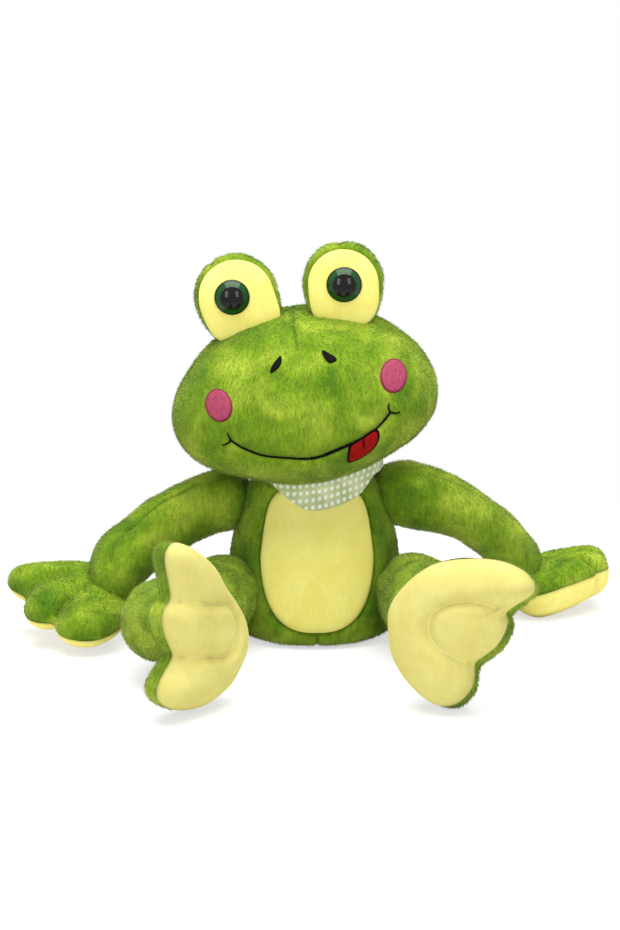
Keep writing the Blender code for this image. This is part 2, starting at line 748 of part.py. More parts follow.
def neck_room_form():
    """The head's socket: round over the neck's ball and flared below it, so that the head can nod."""
    radius = NECK_RADIUS + NECK_PLAY
    low = NECK_BALL_HEIGHT - TORSO_HEIGHT
    beside = radius / cos(radians(NOD_BACK))
    flare = beside + low * sin(radians(NOD_BACK * 1.35))
    points = [(0, -low), (flare, -low), (beside, 0)]
    for degrees in (72, 54, 36, 18):
        points.append((radius * sin(radians(degrees)), radius * cos(radians(degrees))))
    points.append((0, radius))
    return turned(points, neck_place(NECK_BALL_HEIGHT), Vector((0, 0, 1)))


def add_scarf():
    """The neckerchief: a thin triangle of cloth that lies on the shoulders and the chest."""
    cloth = piece("neckerchief", torso_form(-SCARF_LIFT - SCARF_CLOTH), "sage_cotton")
    under = cutter("scarf_under", torso_form(-SCARF_LIFT))
    low = TORSO_HEIGHT - SCARF_BACK
    tip = TORSO_HEIGHT - SCARF_DROP
    reach = TORSO_WIDTH / 2
    middle = SCARF_TIP_SIDE
    points = [
        (-reach, low), (middle - 0.6 * reach, low), (middle - 0.3 * reach, tip + 0.32 * (low - tip)),
        (middle, tip), (middle + 0.3 * reach, tip + 0.25 * (low - tip)), (middle + 0.75 * reach, low),
        (reach * 1.1, low), (reach * 1.1, TORSO_HEIGHT * 1.2), (-reach, TORSO_HEIGHT * 1.2),
    ]
    front = SEAT.y - TORSO_DEPTH
    shape = cutter("scarf_outline", outline_bar(seat_outline(points), front, SEAT.y + TORSO_DEPTH))
    hole = cutter("scarf_hole", neck_form(SEAM_PLAY))
    cut(cloth, shape, operation="INTERSECT")
    cut(cloth, under, hole, *[o for o in bpy.data.objects if o.name.startswith("arm_pocket")])


def pillow_at(place, shares, length, thickness):
    middle, ahead, out = place
    frame = framed(at_seat(*middle), ahead, out)
    back = thickness * BACK_SHARE
    return Pillow(
        lambda angle: edge_reach(angle, shares, length), back, thickness - back, frame, len(shares),
    )


def add_end(kind, side, pillow, path, radius, names):
    """A hand or foot: two skin panels sewn round the edge over a stuffed core, with a dimple."""
    joint = joint_point(f"{kind}_{side}_joint", at_seat(*path[-1]))
    dimple = cutter(f"{kind}_dimple_{side}", ball(at_seat(*path[-1]), radius + SEAM_PLAY, 14))
    back = piece(f"{names[0]}_{side}", pillow.panel("back"), "green_plush", joint)
    front = piece(f"{names[1]}_{side}", pillow.panel("front"), "yellow_plush", joint)
    core = piece(f"{kind}_stuffing_{side}", pillow.core(), "polyester_fill", joint)
    cut(back, dimple)
    cut(front, dimple)
    cut(core, dimple)


def build():
    clear_scene()
    add_torso()
    add_scarf()
    add_neck()
    add_head()
    for side, path in ARM_PATHS.items():
        add_limb("arm", side, placed(path), arm_radius, 12, 5)
        shares = HAND_REACH_SHARES if side == "right" else mirrored(HAND_REACH_SHARES)
        pillow = pillow_at(HAND_PLACES[side], shares, HAND_LENGTH, HAND_THICKNESS)
        add_end("hand", side, pillow, path, WRIST_RADIUS, ("hand_back", "hand_palm"))
    for side, path in LEG_PATHS.items():
        add_limb("leg", side, placed(path), leg_radius, 14, 5)
        pillow = pillow_at(FOOT_PLACES[side], FOOT_REACH_SHARES[side], FOOT_LENGTH, FOOT_THICKNESS)
        add_end("foot", side, pillow, path, ANKLE_RADIUS, ("foot_upper", "foot_sole"))


build()
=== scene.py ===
from math import cos, pi, radians, sin

import bmesh
import bpy
import numpy as np
from mathutils import Matrix, Vector, noise
from mathutils.bvhtree import BVHTree


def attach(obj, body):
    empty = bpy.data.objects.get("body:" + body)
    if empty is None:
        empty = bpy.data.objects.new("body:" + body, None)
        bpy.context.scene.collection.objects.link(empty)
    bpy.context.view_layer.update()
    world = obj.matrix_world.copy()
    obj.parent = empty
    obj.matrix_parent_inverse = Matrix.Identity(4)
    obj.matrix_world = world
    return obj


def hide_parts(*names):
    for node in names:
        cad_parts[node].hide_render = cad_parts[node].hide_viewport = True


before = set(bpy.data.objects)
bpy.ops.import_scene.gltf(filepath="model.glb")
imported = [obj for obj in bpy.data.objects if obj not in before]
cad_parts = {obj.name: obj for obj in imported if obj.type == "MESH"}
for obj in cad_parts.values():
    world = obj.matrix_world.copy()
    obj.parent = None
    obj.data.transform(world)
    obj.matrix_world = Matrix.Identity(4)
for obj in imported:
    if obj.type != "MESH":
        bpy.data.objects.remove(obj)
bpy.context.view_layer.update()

# The frog sits on a plain pale floor that fades out to white, and a soft box stands on each side of the
# camera with a wide one overhead. The camera looks down on it a little, from well in front.
mm = 0.001
seat = Vector((-0.0047, 0.0687, 0))


def at(x, y, z):
    """A place given in millimetres from the middle of the frog's seat."""
    return seat + Vector((x, y, z)) * mm


def placed(name, data):
    """A new object, linked into the scene."""
    made = bpy.data.objects.new(name, data)
    bpy.context.scene.collection.objects.link(made)
    return made


view_distance = 1.6
view_height = radians(12)
looked_at = at(0, 0, 109)
pixel = 0.00065  # what one pixel spans at the frog
picture_height = 930
lens = bpy.data.cameras.new("camera")
lens.sensor_width = 36
lens.lens = lens.sensor_width * (view_distance / pixel) / picture_height
camera = placed("camera", lens)
camera.location = looked_at + view_distance * Vector((0, -cos(view_height), sin(view_height)))
camera.rotation_euler = (looked_at - camera.location).to_track_quat("-Z", "Y").to_euler()
bpy.context.scene.camera = camera
bpy.context.scene.view_settings.view_transform = "Standard"


def soft_box(name, place, width, height, watts):
    lamp = bpy.data.lights.new(name, "AREA")
    lamp.shape = "RECTANGLE"
    lamp.size = width
    lamp.size_y = height
    lamp.energy = watts
    made = placed(name, lamp)
    made.location = place
    made.rotation_euler = (at(0, 0, 90) - Vector(place)).to_track_quat("-Z", "Y").to_euler()


soft_box("soft_box_left", (-1.15, -1.95, 0.80), 0.62, 1.25, 13.6)
soft_box("soft_box_right", (1.08, -1.95, 0.88), 0.62, 1.25, 11.3)
soft_box("soft_box_over", (0.0, -0.15, 1.45), 1.6, 1.2, 38)


def set_inputs(tree, made, inputs):
    """Gives a node's inputs their values, or links them to another node's output."""
    for key, value in inputs.items():
        if isinstance(value, bpy.types.NodeSocket):
            tree.links.new(value, made.inputs[key])
        else:
            made.inputs[key].default_value = value


def node(tree, kind, *values, **settings):
    """A node with its settings, and what its inputs take, in order or by name."""
    made = tree.nodes.new(kind)
    inputs = dict(enumerate(values))
    for key, value in settings.items():
        if key in made.inputs:
            inputs[key] = value
        else:
            setattr(made, key, value)
    set_inputs(tree, made, inputs)
    return made


def maths(tree, operation, a, b):
    return node(tree, "ShaderNodeMath", a, b, operation=operation).outputs[0]


def seen_directly(tree):
    """1 on camera, mirror and glass rays."""
    path = node(tree, "ShaderNodeLightPath")
    both = maths(tree, "MAXIMUM", path.outputs["Is Camera Ray"], path.outputs["Is Glossy Ray"])
    return maths(tree, "MAXIMUM", both, path.outputs["Is Transmission Ray"])


white = (1, 1, 1, 1)
sky = bpy.data.worlds.new("sky")
bpy.context.scene.world = sky
sky.use_nodes = True
tree = sky.node_tree
dim = tree.nodes["Background"]
set_inputs(tree, dim, {"Color": white, "Strength": 0.29})
bright = node(tree, "ShaderNodeBackground", Color=white, Strength=1.0)
choose = node(tree, "ShaderNodeMixShader", seen_directly(tree), dim.outputs[0], bright.outputs[0])
set_inputs(tree, tree.nodes["World Output"], {0: choose.outputs[0]})

floor_reach = 3.0
fade_from, fade_to = 0.26, 0.52
table = bmesh.new()
bmesh.ops.create_circle(table, cap_ends=True, segments=64, radius=floor_reach)
floor_mesh = bpy.data.meshes.new("floor")
table.to_mesh(floor_mesh)
table.free()
floor = placed("floor", floor_mesh)
floor.location.z = -0.0002
floor_paint = bpy.data.materials.new("floor_paint")
floor_paint.use_nodes = True
tree = floor_paint.node_tree
tree.nodes.clear()
place = node(tree, "ShaderNodeTexCoord")
length = node(tree, "ShaderNodeVectorMath", place.outputs["Object"], operation="LENGTH")
fade = node(tree, "ShaderNodeMapRange", length.outputs["Value"], fade_from, fade_to, interpolation_type="SMOOTHSTEP")
matt = node(tree, "ShaderNodeBsdfDiffuse", Color=(0.80, 0.80, 0.80, 1))
half_matt = node(tree, "ShaderNodeBsdfDiffuse", Color=(0.46, 0.46, 0.46, 1))
half_glow = node(tree, "ShaderNodeEmission", Color=white, Strength=0.62)
near = node(tree, "ShaderNodeAddShader", half_matt.outputs[0], half_glow.outputs[0])
far = node(tree, "ShaderNodeEmission", Color=white, Strength=1.0)
seen = node(tree, "ShaderNodeMixShader", fade.outputs[0], near.outputs[0], far.outputs[0])
either = node(tree, "ShaderNodeMixShader", seen_directly(tree), matt.outputs[0], seen.outputs[0])
node(tree, "ShaderNodeOutputMaterial", either.outputs[0])
floor_mesh.materials.append(floor_paint)

# The torso is a pear-shaped skin of green plush, filled with loose fibre over a bag of pellets. The green
# plush has a short pile that lies in patches, brushed light and dark. A short seam shows below the belly.


def dye(red, green, blue):
    """A cloth's colour, from a dyer's 0 to 255, as the shader reads it."""
    return tuple((tone / 255) ** 2.2 for tone in (red, green, blue)) + (1,)


def tones(tree, value, *stops):
    """The colour that follows a value through stops, each a place and a colour."""
    made = node(tree, "ShaderNodeValToRGB", value)
    ends = made.color_ramp.elements
    ends[0].position, ends[0].color = stops[0]
    ends[1].position, ends[1].color = stops[-1]
    for place, colour in stops[1:-1]:
        ends.new(place).color = colour
    return made.outputs["Color"]


def material(name):
    """A new material, with its tree and its main shader."""
    made = bpy.data.materials.new(name)
    made.use_nodes = True
    return made, made.node_tree, made.node_tree.nodes["Principled BSDF"]


def plush(name, dark, middle, light, patch_size=0.027, contrast=1.0, nap=1.0, tip=None):
    """Short pile: broad patches where it is brushed up or down, fine streaks, and painted shade along the seams."""
    made, tree, cloth = material(name)
    place = node(tree, "ShaderNodeTexCoord").outputs["Object"]
    patches = node(tree, "ShaderNodeTexNoise", Vector=place, Scale=1 / patch_size, Detail=2.0, Roughness=0.5,
                   Distortion=0.5)
    spread = 0.2 / contrast
    brushed = tones(tree, patches.outputs["Fac"], (0.5 - spread, dark), (0.5, middle), (0.5 + spread, light))
    lie = node(tree, "ShaderNodeMapping", Vector=place, Scale=(1, 1, 0.22))
    streaks = node(tree, "ShaderNodeTexNoise", Vector=lie.outputs["Vector"], Scale=520, Detail=3, Roughness=0.6,
                   Distortion=0.6)
    shade = node(tree, "ShaderNodeMapRange", streaks.outputs["Fac"], 0.3, 0.7, 1 - 0.26 * nap, 1 + 0.22 * nap)
    # Painted shade: where the seam note is full, the colour is darkened down to 0.38, along seams and creases.
    seam = node(tree, "ShaderNodeAttribute", attribute_name="seam")
    deep = node(tree, "ShaderNodeMapRange", seam.outputs["Fac"], 0, 1, 1.0, 0.38)
    both = maths(tree, "MULTIPLY", shade.outputs[0], deep.outputs[0])
    coloured = node(tree, "ShaderNodeVectorMath", brushed, operation="SCALE", Scale=both)
    raised = node(tree, "ShaderNodeBump", Strength=0.45 * nap, Distance=0.0012, Height=streaks.outputs["Fac"])
    set_inputs(tree, cloth, {
        "Base Color": coloured.outputs[0], "Normal": raised.outputs[0], "Roughness": 0.92,
        "Specular IOR Level": 0.15, "Sheen Weight": 0.30 + 0.4 * (nap > 0.9), "Sheen Roughness": 0.45,
        "Sheen Tint": tip or light,
    })
    return made


green_plush = plush("green_plush", dye(74, 114, 18), dye(112, 143, 31), dye(150, 172, 54), tip=dye(206, 208, 122))


def hoop(middle, across, up, half_across, half_up):
    """Where one hoop of a stuffed form lies."""
    x = Vector(across).normalized() * half_across * mm
    y = Vector(up).normalized() * half_up * mm
    z = x.cross(y).normalized() * mm
    turn = Matrix((x, y, z)).transposed().to_4x4()
    return Matrix.Translation(middle) @ turn


def smooth_mesh(bm, levels):
    """The dense smooth mesh that a coarse form becomes."""
    coarse = bpy.data.meshes.new("coarse")
    bm.to_mesh(coarse)
    bm.free()
    carrier = placed("coarse", coarse)
    step = carrier.modifiers.new("smooth", "SUBSURF")
    step.levels = step.render_levels = levels
    depsgraph = bpy.context.evaluated_depsgraph_get()
    fine = bpy.data.meshes.new_from_object(carrier.evaluated_get(depsgraph))
    bpy.data.objects.remove(carrier)
    bpy.data.meshes.remove(coarse)
    return fine


def next_ring(bm, edges):
    """Grows a further ring of faces from a ring of edges, and gives its own points and edges."""
    grown = bmesh.ops.extrude_edge_only(bm, edges=edges)["geom"]
    ring = [g for g in grown if isinstance(g, bmesh.types.BMVert)]
    new = set(ring)
    return ring, [g for g in grown if isinstance(g, bmesh.types.BMEdge) and set(g.verts) <= new]


def stuffed(sides, square, hoops, levels=3):
    """A stuffed form through hoops, closed at each end, as a dense smooth mesh."""
    bm = bmesh.new()
    ring = bmesh.ops.create_circle(bm, segments=sides, radius=1)["verts"]
    for v in ring:
        v.co *= (abs(v.co.x) ** square + abs(v.co.y) ** square) ** (-1 / square)
    first = edges = list(bm.edges)
    bmesh.ops.transform(bm, matrix=hoops[0], verts=ring)
    for before, after in zip(hoops, hoops[1:]):
        ring, edges = next_ring(bm, edges)
        bmesh.ops.transform(bm, matrix=after @ before.inverted(), verts=ring)
    for loop in (first, edges):
        cap = bmesh.ops.contextual_create(bm, geom=loop)["faces"]
        bmesh.ops.poke(bm, faces=cap)
    bmesh.ops.recalc_face_normals(bm, faces=bm.faces)
    return smooth_mesh(bm, levels)


def points_of(mesh):
    co = np.empty(len(mesh.vertices) * 3)
    mesh.vertices.foreach_get("co", co)
    return co.reshape(-1, 3)


def normals_of(mesh):
    out = np.empty(len(mesh.vertices) * 3)
    mesh.vertex_normals.foreach_get("vector", out)
    return out.reshape(-1, 3)


def put_points(mesh, co):
    mesh.vertices.foreach_set("co", co.ravel())
    mesh.update()


def off_line(co, line):
    """How far points lie from a line through places."""
    best = np.full(len(co), 1e9)
    for a, b in zip(line, line[1:]):
        a, b = np.array(a, float), np.array(b, float)
        run = b - a
        share = np.clip((co - a) @ run / max(run @ run, 1e-12), 0, 1)
        best = np.minimum(best, np.linalg.norm(co - a - share[:, None] * run, axis=1))
    return best


def noted(mesh, name):
    """The number noted at each point of a mesh, 0 where there is none."""
    values = np.zeros(len(mesh.vertices), np.float32)
    if name in mesh.attributes:
        mesh.attributes[name].data.foreach_get("value", values)
    return values


def note(mesh, name, values):
    kept = mesh.attributes.get(name) or mesh.attributes.new(name, "FLOAT", "POINT")
    kept.data.foreach_set("value", values.astype(np.float32))


def stitch(mesh, line, depth, width, shade=1.0):
    """Draws the cloth in along a seam, and notes how much painted shade each point gets there, falling off away from
    the seam; the note also thins the pile.
    """
    co = points_of(mesh)
    off = off_line(co, line)
    inward = np.exp(-((off / (width * mm)) ** 2))
    put_points(mesh, co - normals_of(mesh) * (inward * depth * mm)[:, None])
    # Painted shade, strongest on the seam's own line and scaled by shade.
    painted_shade = np.exp(-((off / (width * 0.5 * mm)) ** 2)) * shade
    note(mesh, "seam", np.maximum(noted(mesh, "seam"), painted_shade))


def dent(mesh, size, depth, seed, stretch=(1, 1, 1)):
    """Soft dents and swellings of loose filling."""
    co = points_of(mesh)
    shift = Vector((seed * 3.1, seed * 1.7, seed * 2.3))
    scale = Vector(stretch) / (size * mm)
    height = np.array([noise.noise(Vector((p[0] * scale.x, p[1] * scale.y, p[2] * scale.z)) + shift) for p in co])
    put_points(mesh, co + normals_of(mesh) * (height * depth * mm)[:, None])


def finished(name, mesh, cloth, body, slot, *nodes):
    """The sewn piece, smooth, in its cloth, riding on its body in place of its CAD nodes."""
    mesh.name = name
    co = points_of(mesh)
    co[:, 2] = np.maximum(co[:, 2], 0.1 * mm)
    put_points(mesh, co)
    mesh.shade_smooth()
    mesh.materials.clear()
    mesh.materials.append(cloth)
    made = placed(name, mesh)
    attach(made, body)
    if nodes:
        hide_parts(*nodes)
    return made


torso_levels = (  # height, middle across, middle back, half width, half depth
    (0.4, 3, -3, 36, 38), (1.6, 3, -4, 48, 48.5), (8, 3, -4, 55, 53), (20, 3, -4, 57, 53.5),
    (36, 3, -3, 57, 51.5), (52, 3, -3, 55.5, 48), (68, 3, -4, 52.5, 43.5), (82, 3, -5, 48.5, 38.5),
    (94, 3, -6, 44.5, 33), (103, 2, -7, 40, 28), (109, 1, -8, 31, 22), (112, 0, -8, 17, 13),
)
torso_hoops = [hoop(at(x, y, z), (1, 0, 0), (0, 1, 0), wide, deep) for z, x, y, wide, deep in torso_levels]
torso_skin = stuffed(24, 2.2, torso_hoops)
dent(torso_skin, 34, 1.1, 1)
dent(torso_skin, 11, 0.35, 2)


def on_skin(mesh):
    return BVHTree.FromPolygons([v.co for v in mesh.vertices], [p.vertices for p in mesh.polygons])


belly_middle = 4.5
well_in_front = -400


def laid(tree, x, z, lift=0.0):
    """The place on a skin's front at a point given across and up, in millimetres from the seat."""
    hit, normal, index, distance = tree.ray_cast(at(x, well_in_front, z), Vector((0, 1, 0)))
    return hit + normal * lift * mm


def on_belly(turn, reach=1.0):
    """A place on the belly panel, across and up: a long oval, squarer at the top."""
    c, s = cos(turn), sin(turn)
    power = 4.5 if s > 0 else 2.6
    out = reach * (abs(c) ** power + abs(s) ** power) ** (-1 / power)
    narrow = 1 - 0.18 * max(s, 0) ** 1.2 - 0.05 * max(-s, 0)
    return belly_middle + 37 * out * c * narrow, 57 + 46 * out * s


bare = on_skin(torso_skin)
belly_line = [laid(bare, *on_belly(2 * pi * step / 72)) for step in range(73)]
lower_seam = [laid(bare, belly_middle, z) for z in (10.5, 8, 5.5, 3.5)]
lower_seam += [at(belly_middle, y, 1) for y in (-50, -36)]
stitch(torso_skin, belly_line, 1.6, 2.6)
stitch(torso_skin, lower_seam, 1.2, 2.0)
torso = finished("torso", torso_skin, green_plush, "torso", "green_plush", "torso_skin", "torso_stuffing", "pellet_bag")

# The belly is an oval panel of yellow plush let into the front of the torso. Its edge is drawn in by the
# seam, and a short crease runs up its middle from the bottom.
yellow_plush = plush("yellow_plush", dye(228, 214, 108), dye(233, 222, 121), dye(237, 227, 135), 0.02, 0.7, 0.14)


def filled_disc(count, shares):
    """A flat disc one unit in radius, of rings at shares of the way out."""
    bm = bmesh.new()
    bmesh.ops.create_circle(bm, segments=count, radius=1)
    edges = list(bm.edges)
    for before, after in zip(shares, shares[1:]):
        ring, edges = next_ring(bm, edges)
        bmesh.ops.scale(bm, vec=Vector((1, 1, 1)) * (after / before), verts=ring)
    bmesh.ops.poke(bm, faces=bmesh.ops.contextual_create(bm, geom=edges)["faces"])
    return bm


belly = filled_disc(96, (1.0, 0.985, 0.96, 0.92, 0.86, 0.78, 0.68, 0.56, 0.42, 0.28, 0.14))
for v in belly.verts:
    reach = min(v.co.length, 1)
    x, z = on_belly(np.arctan2(v.co.y, v.co.x), reach)
    swell = min((1 - reach) / 0.06, 1)
    crease = np.exp(-((x - belly_middle) / 2.2) ** 2) * max(0, 1 - (z - 10) / 26)
    v.co = laid(bare, x, z, lift=-1.6 + 2.6 * swell ** 0.5 - 0.9 * crease)
bmesh.ops.recalc_face_normals(belly, faces=belly.faces)
belly_mesh = smooth_mesh(belly, 1)
finished("belly", belly_mesh, yellow_plush, "torso", "yellow_plush", "belly_panel")

# The neck is a short round stump of green plush, packed firm. The head is sewn down over it, and it closes
# the gap between the shoulders and the head when the frog looks up or round.
neck_levels = ((90, 26, 24), (95, 30, 28), (103, 32, 29.5), (111, 32, 29), (117, 29, 26), (121, 22, 20))
neck_skin = stuffed(24, 2, [hoop(at(5, -9, z), (1, 0, 0), (0, 1, 0), wide, deep) for z, wide, deep in neck_levels], 2)
dent(neck_skin, 14, 0.5, 3)
neck = finished("neck_stump", neck_skin, green_plush, "neck", "green_plush", "neck")

# The head is a broad pillow of green plush with full cheeks, tipped over to one side. Its skin is cut in
# two halves that are sewn down the middle of the forehead, and the filling leaves soft dents.
head_turn = Matrix.Translation(at(-2.8, -20, 152.5)) @ Matrix.Rotation(radians(-9), 4, "Y")
head_levels = (  # height, middle forward, half width, half depth
    (-47.6, -1, 8, 14), (-46.2, -1, 18, 25), (-43, -1, 31, 34), (-38.5, 1, 44, 41), (-33.5, 3, 57.5, 46.5),
    (-27, 5, 69.5, 50.5), (-17, 6, 80, 53.5), (-5, 6, 85, 54), (8, 4, 85.5, 53.5), (21, 2, 81, 51),
    (32, 0, 73, 48), (42, -2, 62.5, 43), (50, -4, 51.5, 36.5), (56, -5, 39.5, 28), (60, -6, 25, 18),
    (61.6, -6, 11, 8),
)
head_skin = stuffed(28, 2.12, [
    head_turn @ hoop(Vector((0, -forward, z)) * mm, (1, 0, 0), (0, 1, 0), wide, deep)
    for z, forward, wide, deep in head_levels
])
dent(head_skin, 42, 1.6, 4)
dent(head_skin, 12, 0.4, 5)


def in_head(x, z):
    """A place on the front of the head's own upright plane, as millimetres from the seat."""
    place = (head_turn @ Vector((x * mm, 0, z * mm)) - seat) / mm
    return place.x, place.z


def smooth_line(points, per_span=8, closed=False):
    """Even points on the smooth curve through given ones."""
    count = len(points)
    made = []
    spans = count if closed else count - 1
    for i in range(spans):
        p = [np.array(points[j % count] if closed else points[min(max(j, 0), count - 1)], float)
             for j in (i - 1, i, i + 1, i + 2)]
        for k in range(per_span):
            t = k / per_span
            made.append(0.5 * (2 * p[1] + (p[2] - p[0]) * t + (2 * p[0] - 5 * p[1] + 4 * p[2] - p[3]) * t ** 2
                               + (3 * p[1] - p[0] - 3 * p[2] + p[3]) * t ** 3))
    if not closed:
        made.append(np.array(points[-1], float))
    return made


def face_run(places, per_span, closed=False):
    """A smooth curve through places in the head's own plane."""
    return [in_head(x, z) for x, z in smooth_line(places, per_span, closed)]


mouth_places = [(-47.7, -5.8), (-43, -10), (-38.2, -13.1), (-29.2, -17.7), (-13.2, -21.5), (-5.3, -23.3),
                (3.5, -23.9), (13.2, -21.9), (25.6, -18.7), (34, -15.6), (42.3, -12.1), (48, -8.2), (52.6, -4.2)]
face = on_skin(head_skin)
mouth_run = face_run(mouth_places, 4)
mouth_line = [laid(face, x, z) for x, z in mouth_run]
forehead_line = [laid(face, *in_head(1.2, z)) for z in (43, 46, 49, 52, 54, 57, 59)]
forehead_line += [head_turn @ (Vector((0.8, y, 61.5)) * mm) for y in (-4, 6, 16)]
stitch(head_skin, mouth_line, 2.0, 3.2, 0.5)
stitch(head_skin, forehead_line, 1.2, 2.0, 0.8)
face = on_skin(head_skin)
head = finished("head", head_skin, green_plush, "head", "green_plush", "head_skin", "head_stuffing")

# The neckerchief is a strip of thin cotton with a dot printed every few millimetres. It goes once round the
# neck under the chin, folded over along its top, and widens to a blunt point on the chest.
print_pitch = 5.3


def dotted_cotton():
    """Pale sage cotton with soft-edged white dots in rows along the cloth."""
    made, tree, cloth = material("sage_cotton")
    flat = node(tree, "ShaderNodeUVMap", uv_map="cloth")
    cell = node(tree, "ShaderNodeVectorMath", flat.outputs["UV"], operation="FRACTION")
    off = node(tree, "ShaderNodeVectorMath", cell.outputs[0], (0.5, 0.5, 0), operation="DISTANCE")
    dot = node(tree, "ShaderNodeMapRange", off.outputs["Value"], 0.20, 0.36, 1, 0)
    place = node(tree, "ShaderNodeTexCoord").outputs["Object"]
    wear = node(tree, "ShaderNodeTexNoise", Vector=place, Scale=90, Detail=3)
    ground = tones(tree, wear.outputs["Fac"], (0.35, dye(170, 180, 128)), (0.68, dye(204, 210, 166)))
    printed = node(tree, "ShaderNodeMixRGB", dot.outputs[0], ground, dye(236, 238, 226))
    yarn = node(tree, "ShaderNodeTexNoise", Vector=place, Scale=1400, Detail=2)
    raised = node(tree, "ShaderNodeBump", Strength=0.25, Distance=0.0004, Height=yarn.outputs["Fac"])
    set_inputs(tree, cloth, {
        "Base Color": printed.outputs[0], "Normal": raised.outputs[0], "Roughness": 0.88, "Sheen Weight": 0.15,
    })
    return made


neck_middle = (5, -8)
chest_edge = ((-60, 116), (-29, 112), (-24, 103.5), (-18, 98), (-11, 93.5), (-5, 90), (2, 88), (10, 88.9),
              (20, 91.6), (29, 95.5), (36, 101), (41, 108), (60, 112))
worn_on = [on_skin(torso_skin), on_skin(neck_skin), on_skin(belly_mesh)]


def away_from_neck(turn):
    return Vector((cos(turn), sin(turn), 0))


def outermost(turn, z, reach=90):
    """How far out of the neck's middle the clothed skins lie at a turn and a height."""
    out = away_from_neck(turn)
    start = at(*neck_middle, z) + out * reach * mm
    hits = [tree.ray_cast(start, -out)[3] for tree in worn_on]
    return reach - min([hit / mm for hit in hits if hit is not None], default=reach)


columns, rows = 168, 16
turns = 2 * pi * np.arange(columns) / columns
cloth_edges = []
for turn in turns:
    chin = face.ray_cast(at(*neck_middle, 92) + away_from_neck(turn) * 38 * mm, Vector((0, 0, 1)))[0]
    x = neck_middle[0] + (outermost(turn, 98) + 1) * cos(turn)
    top = min(117, (chin.z / mm if chin else 117) - 0.8)
    front = min(max((0.25 - sin(turn)) / 0.5, 0), 1)
    low = front * np.interp(x, *zip(*chest_edge)) + (1 - front) * (top - 11)
    cloth_edges.append((top, min(low, top - (1.0 if x < -22 and front > 0.5 else 2.5))))


def evened(values, span):
    """A round of values smoothed over its neighbours."""
    kernel = np.hanning(span + 2)[1:-1]
    twice_round = np.concatenate([values[-span:], values, values[:span]])
    return np.convolve(twice_round, kernel / kernel.sum(), "same")[span:-span]


tops, lows = (np.array(side) for side in zip(*cloth_edges))
tops, lows = evened(tops, 13), evened(lows, 5)
loose = 1 / np.hypot(np.cos(turns) / 40, np.sin(turns) / 30.5)
laid_rows = []
for row in range(rows + 1):
    heights = tops + (lows - tops) * (row / rows)
    radii = np.maximum([outermost(turn, z) for turn, z in zip(turns, heights)], loose)
    hang = np.clip((tops - heights) - 5.2, 0, None)
    folded = 1.5 / (1 + np.exp(np.clip((hang - 0.5) * 6, -30, 30)))
    wave = [0.5 * noise.noise(Vector((cos(turn) * 2.4, sin(turn) * 2.4, z / 7))) for turn, z in zip(turns, heights)]
    laid_rows.append((evened(radii, 9) + 1.0 + folded + np.array(wave), heights))
scarf = bmesh.new()
bmesh.ops.create_circle(scarf, segments=columns, radius=1)
edges = list(scarf.edges)
row_of = scarf.verts.layers.int.new("row")
for row in range(1, rows + 1):
    ring, edges = next_ring(scarf, edges)
    for v in ring:
        v[row_of] = row
flat_uv = scarf.loops.layers.uv.new("cloth")
for v in scarf.verts:
    v.index = int(round(np.arctan2(v.co.y, v.co.x) / (2 * pi) * columns)) % columns
cut_width = 2 * pi * 43
slope = 1.12
for f in scarf.faces:
    past_seam = max(loop.vert.index for loop in f.loops) > 2
    for loop in f.loops:
        i = loop.vert.index
        lap = i + columns if i == 0 and past_seam else i
        depth = (tops[i] - lows[i]) * loop.vert[row_of] / rows
        loop[flat_uv].uv = (lap / columns * cut_width / print_pitch, depth * slope / print_pitch)
for v in scarf.verts:
    radii, heights = laid_rows[v[row_of]]
    v.co = at(*neck_middle, heights[v.index]) + away_from_neck(turns[v.index]) * radii[v.index] * mm
bmesh.ops.recalc_face_normals(scarf, faces=scarf.faces)
cloth_area = sum(f.calc_area() for f in scarf.faces)
bmesh.ops.solidify(scarf, geom=scarf.faces[:], thickness=0.7 * mm)
scarf_mesh = smooth_mesh(scarf, 1)
neckerchief = finished("neckerchief_cotton", scarf_mesh, dotted_cotton(), "torso", "sage_cotton", "neckerchief")

# Each eye stands up on the head as a short round cushion: a deep bowl of green plush behind, and a round
# front of smooth yellow plush sewn into it. The seam leaves a frayed edge and a nick at the top.
stalks = {  # across, up and forward; lean; bowl's size; front's size and lift; nick's place; slant; eye's place
    "right": (-46.6, 222.0, 18, -19.0, 1.01, (1.06, 0.6), 8, 2.2, (2.1, 2.4)),
    "left": (20.9, 231.4, 23, -2.0, 0.975, (0.985, 0.2), 1, 0, (-0.4, 1.0)),
}
bowl_levels = ((-17.5, 7), (-16.3, 14), (-12.5, 20), (-6, 24.4), (1, 26.0), (6, 25.9), (9, 25.0), (10.2, 23.2),
               (9.2, 19), (9.0, 10))
front_levels = ((6, 10), (7.5, 20.5), (9.6, 23.0), (12, 22.6), (14.2, 19.4), (15.9, 14), (16.6, 7))


def cushion(stand, levels, size, lift):
    """A round cushion with its axis forward."""
    middle, across, up, forward = stand
    return stuffed(28, 2, [hoop(middle + (forward * w + up * lift) * mm, across, up, r * size, r * size)
                           for w, r in levels])


def drawn_down(mesh, stand, reach, broad, slant):
    """The lower half runs on down into the head, and stays broad there."""
    middle, across, up, forward = (np.array(part) for part in stand)
    co = points_of(mesh)
    low = -(co - middle) @ up / mm
    beside = (co - middle) @ across
    share = np.clip(low / 24, 0, 1)
    put_points(mesh, co - np.outer(share ** 2 * reach * mm, up)
               + np.outer((beside * broad - slant * mm) * share ** 2, across))


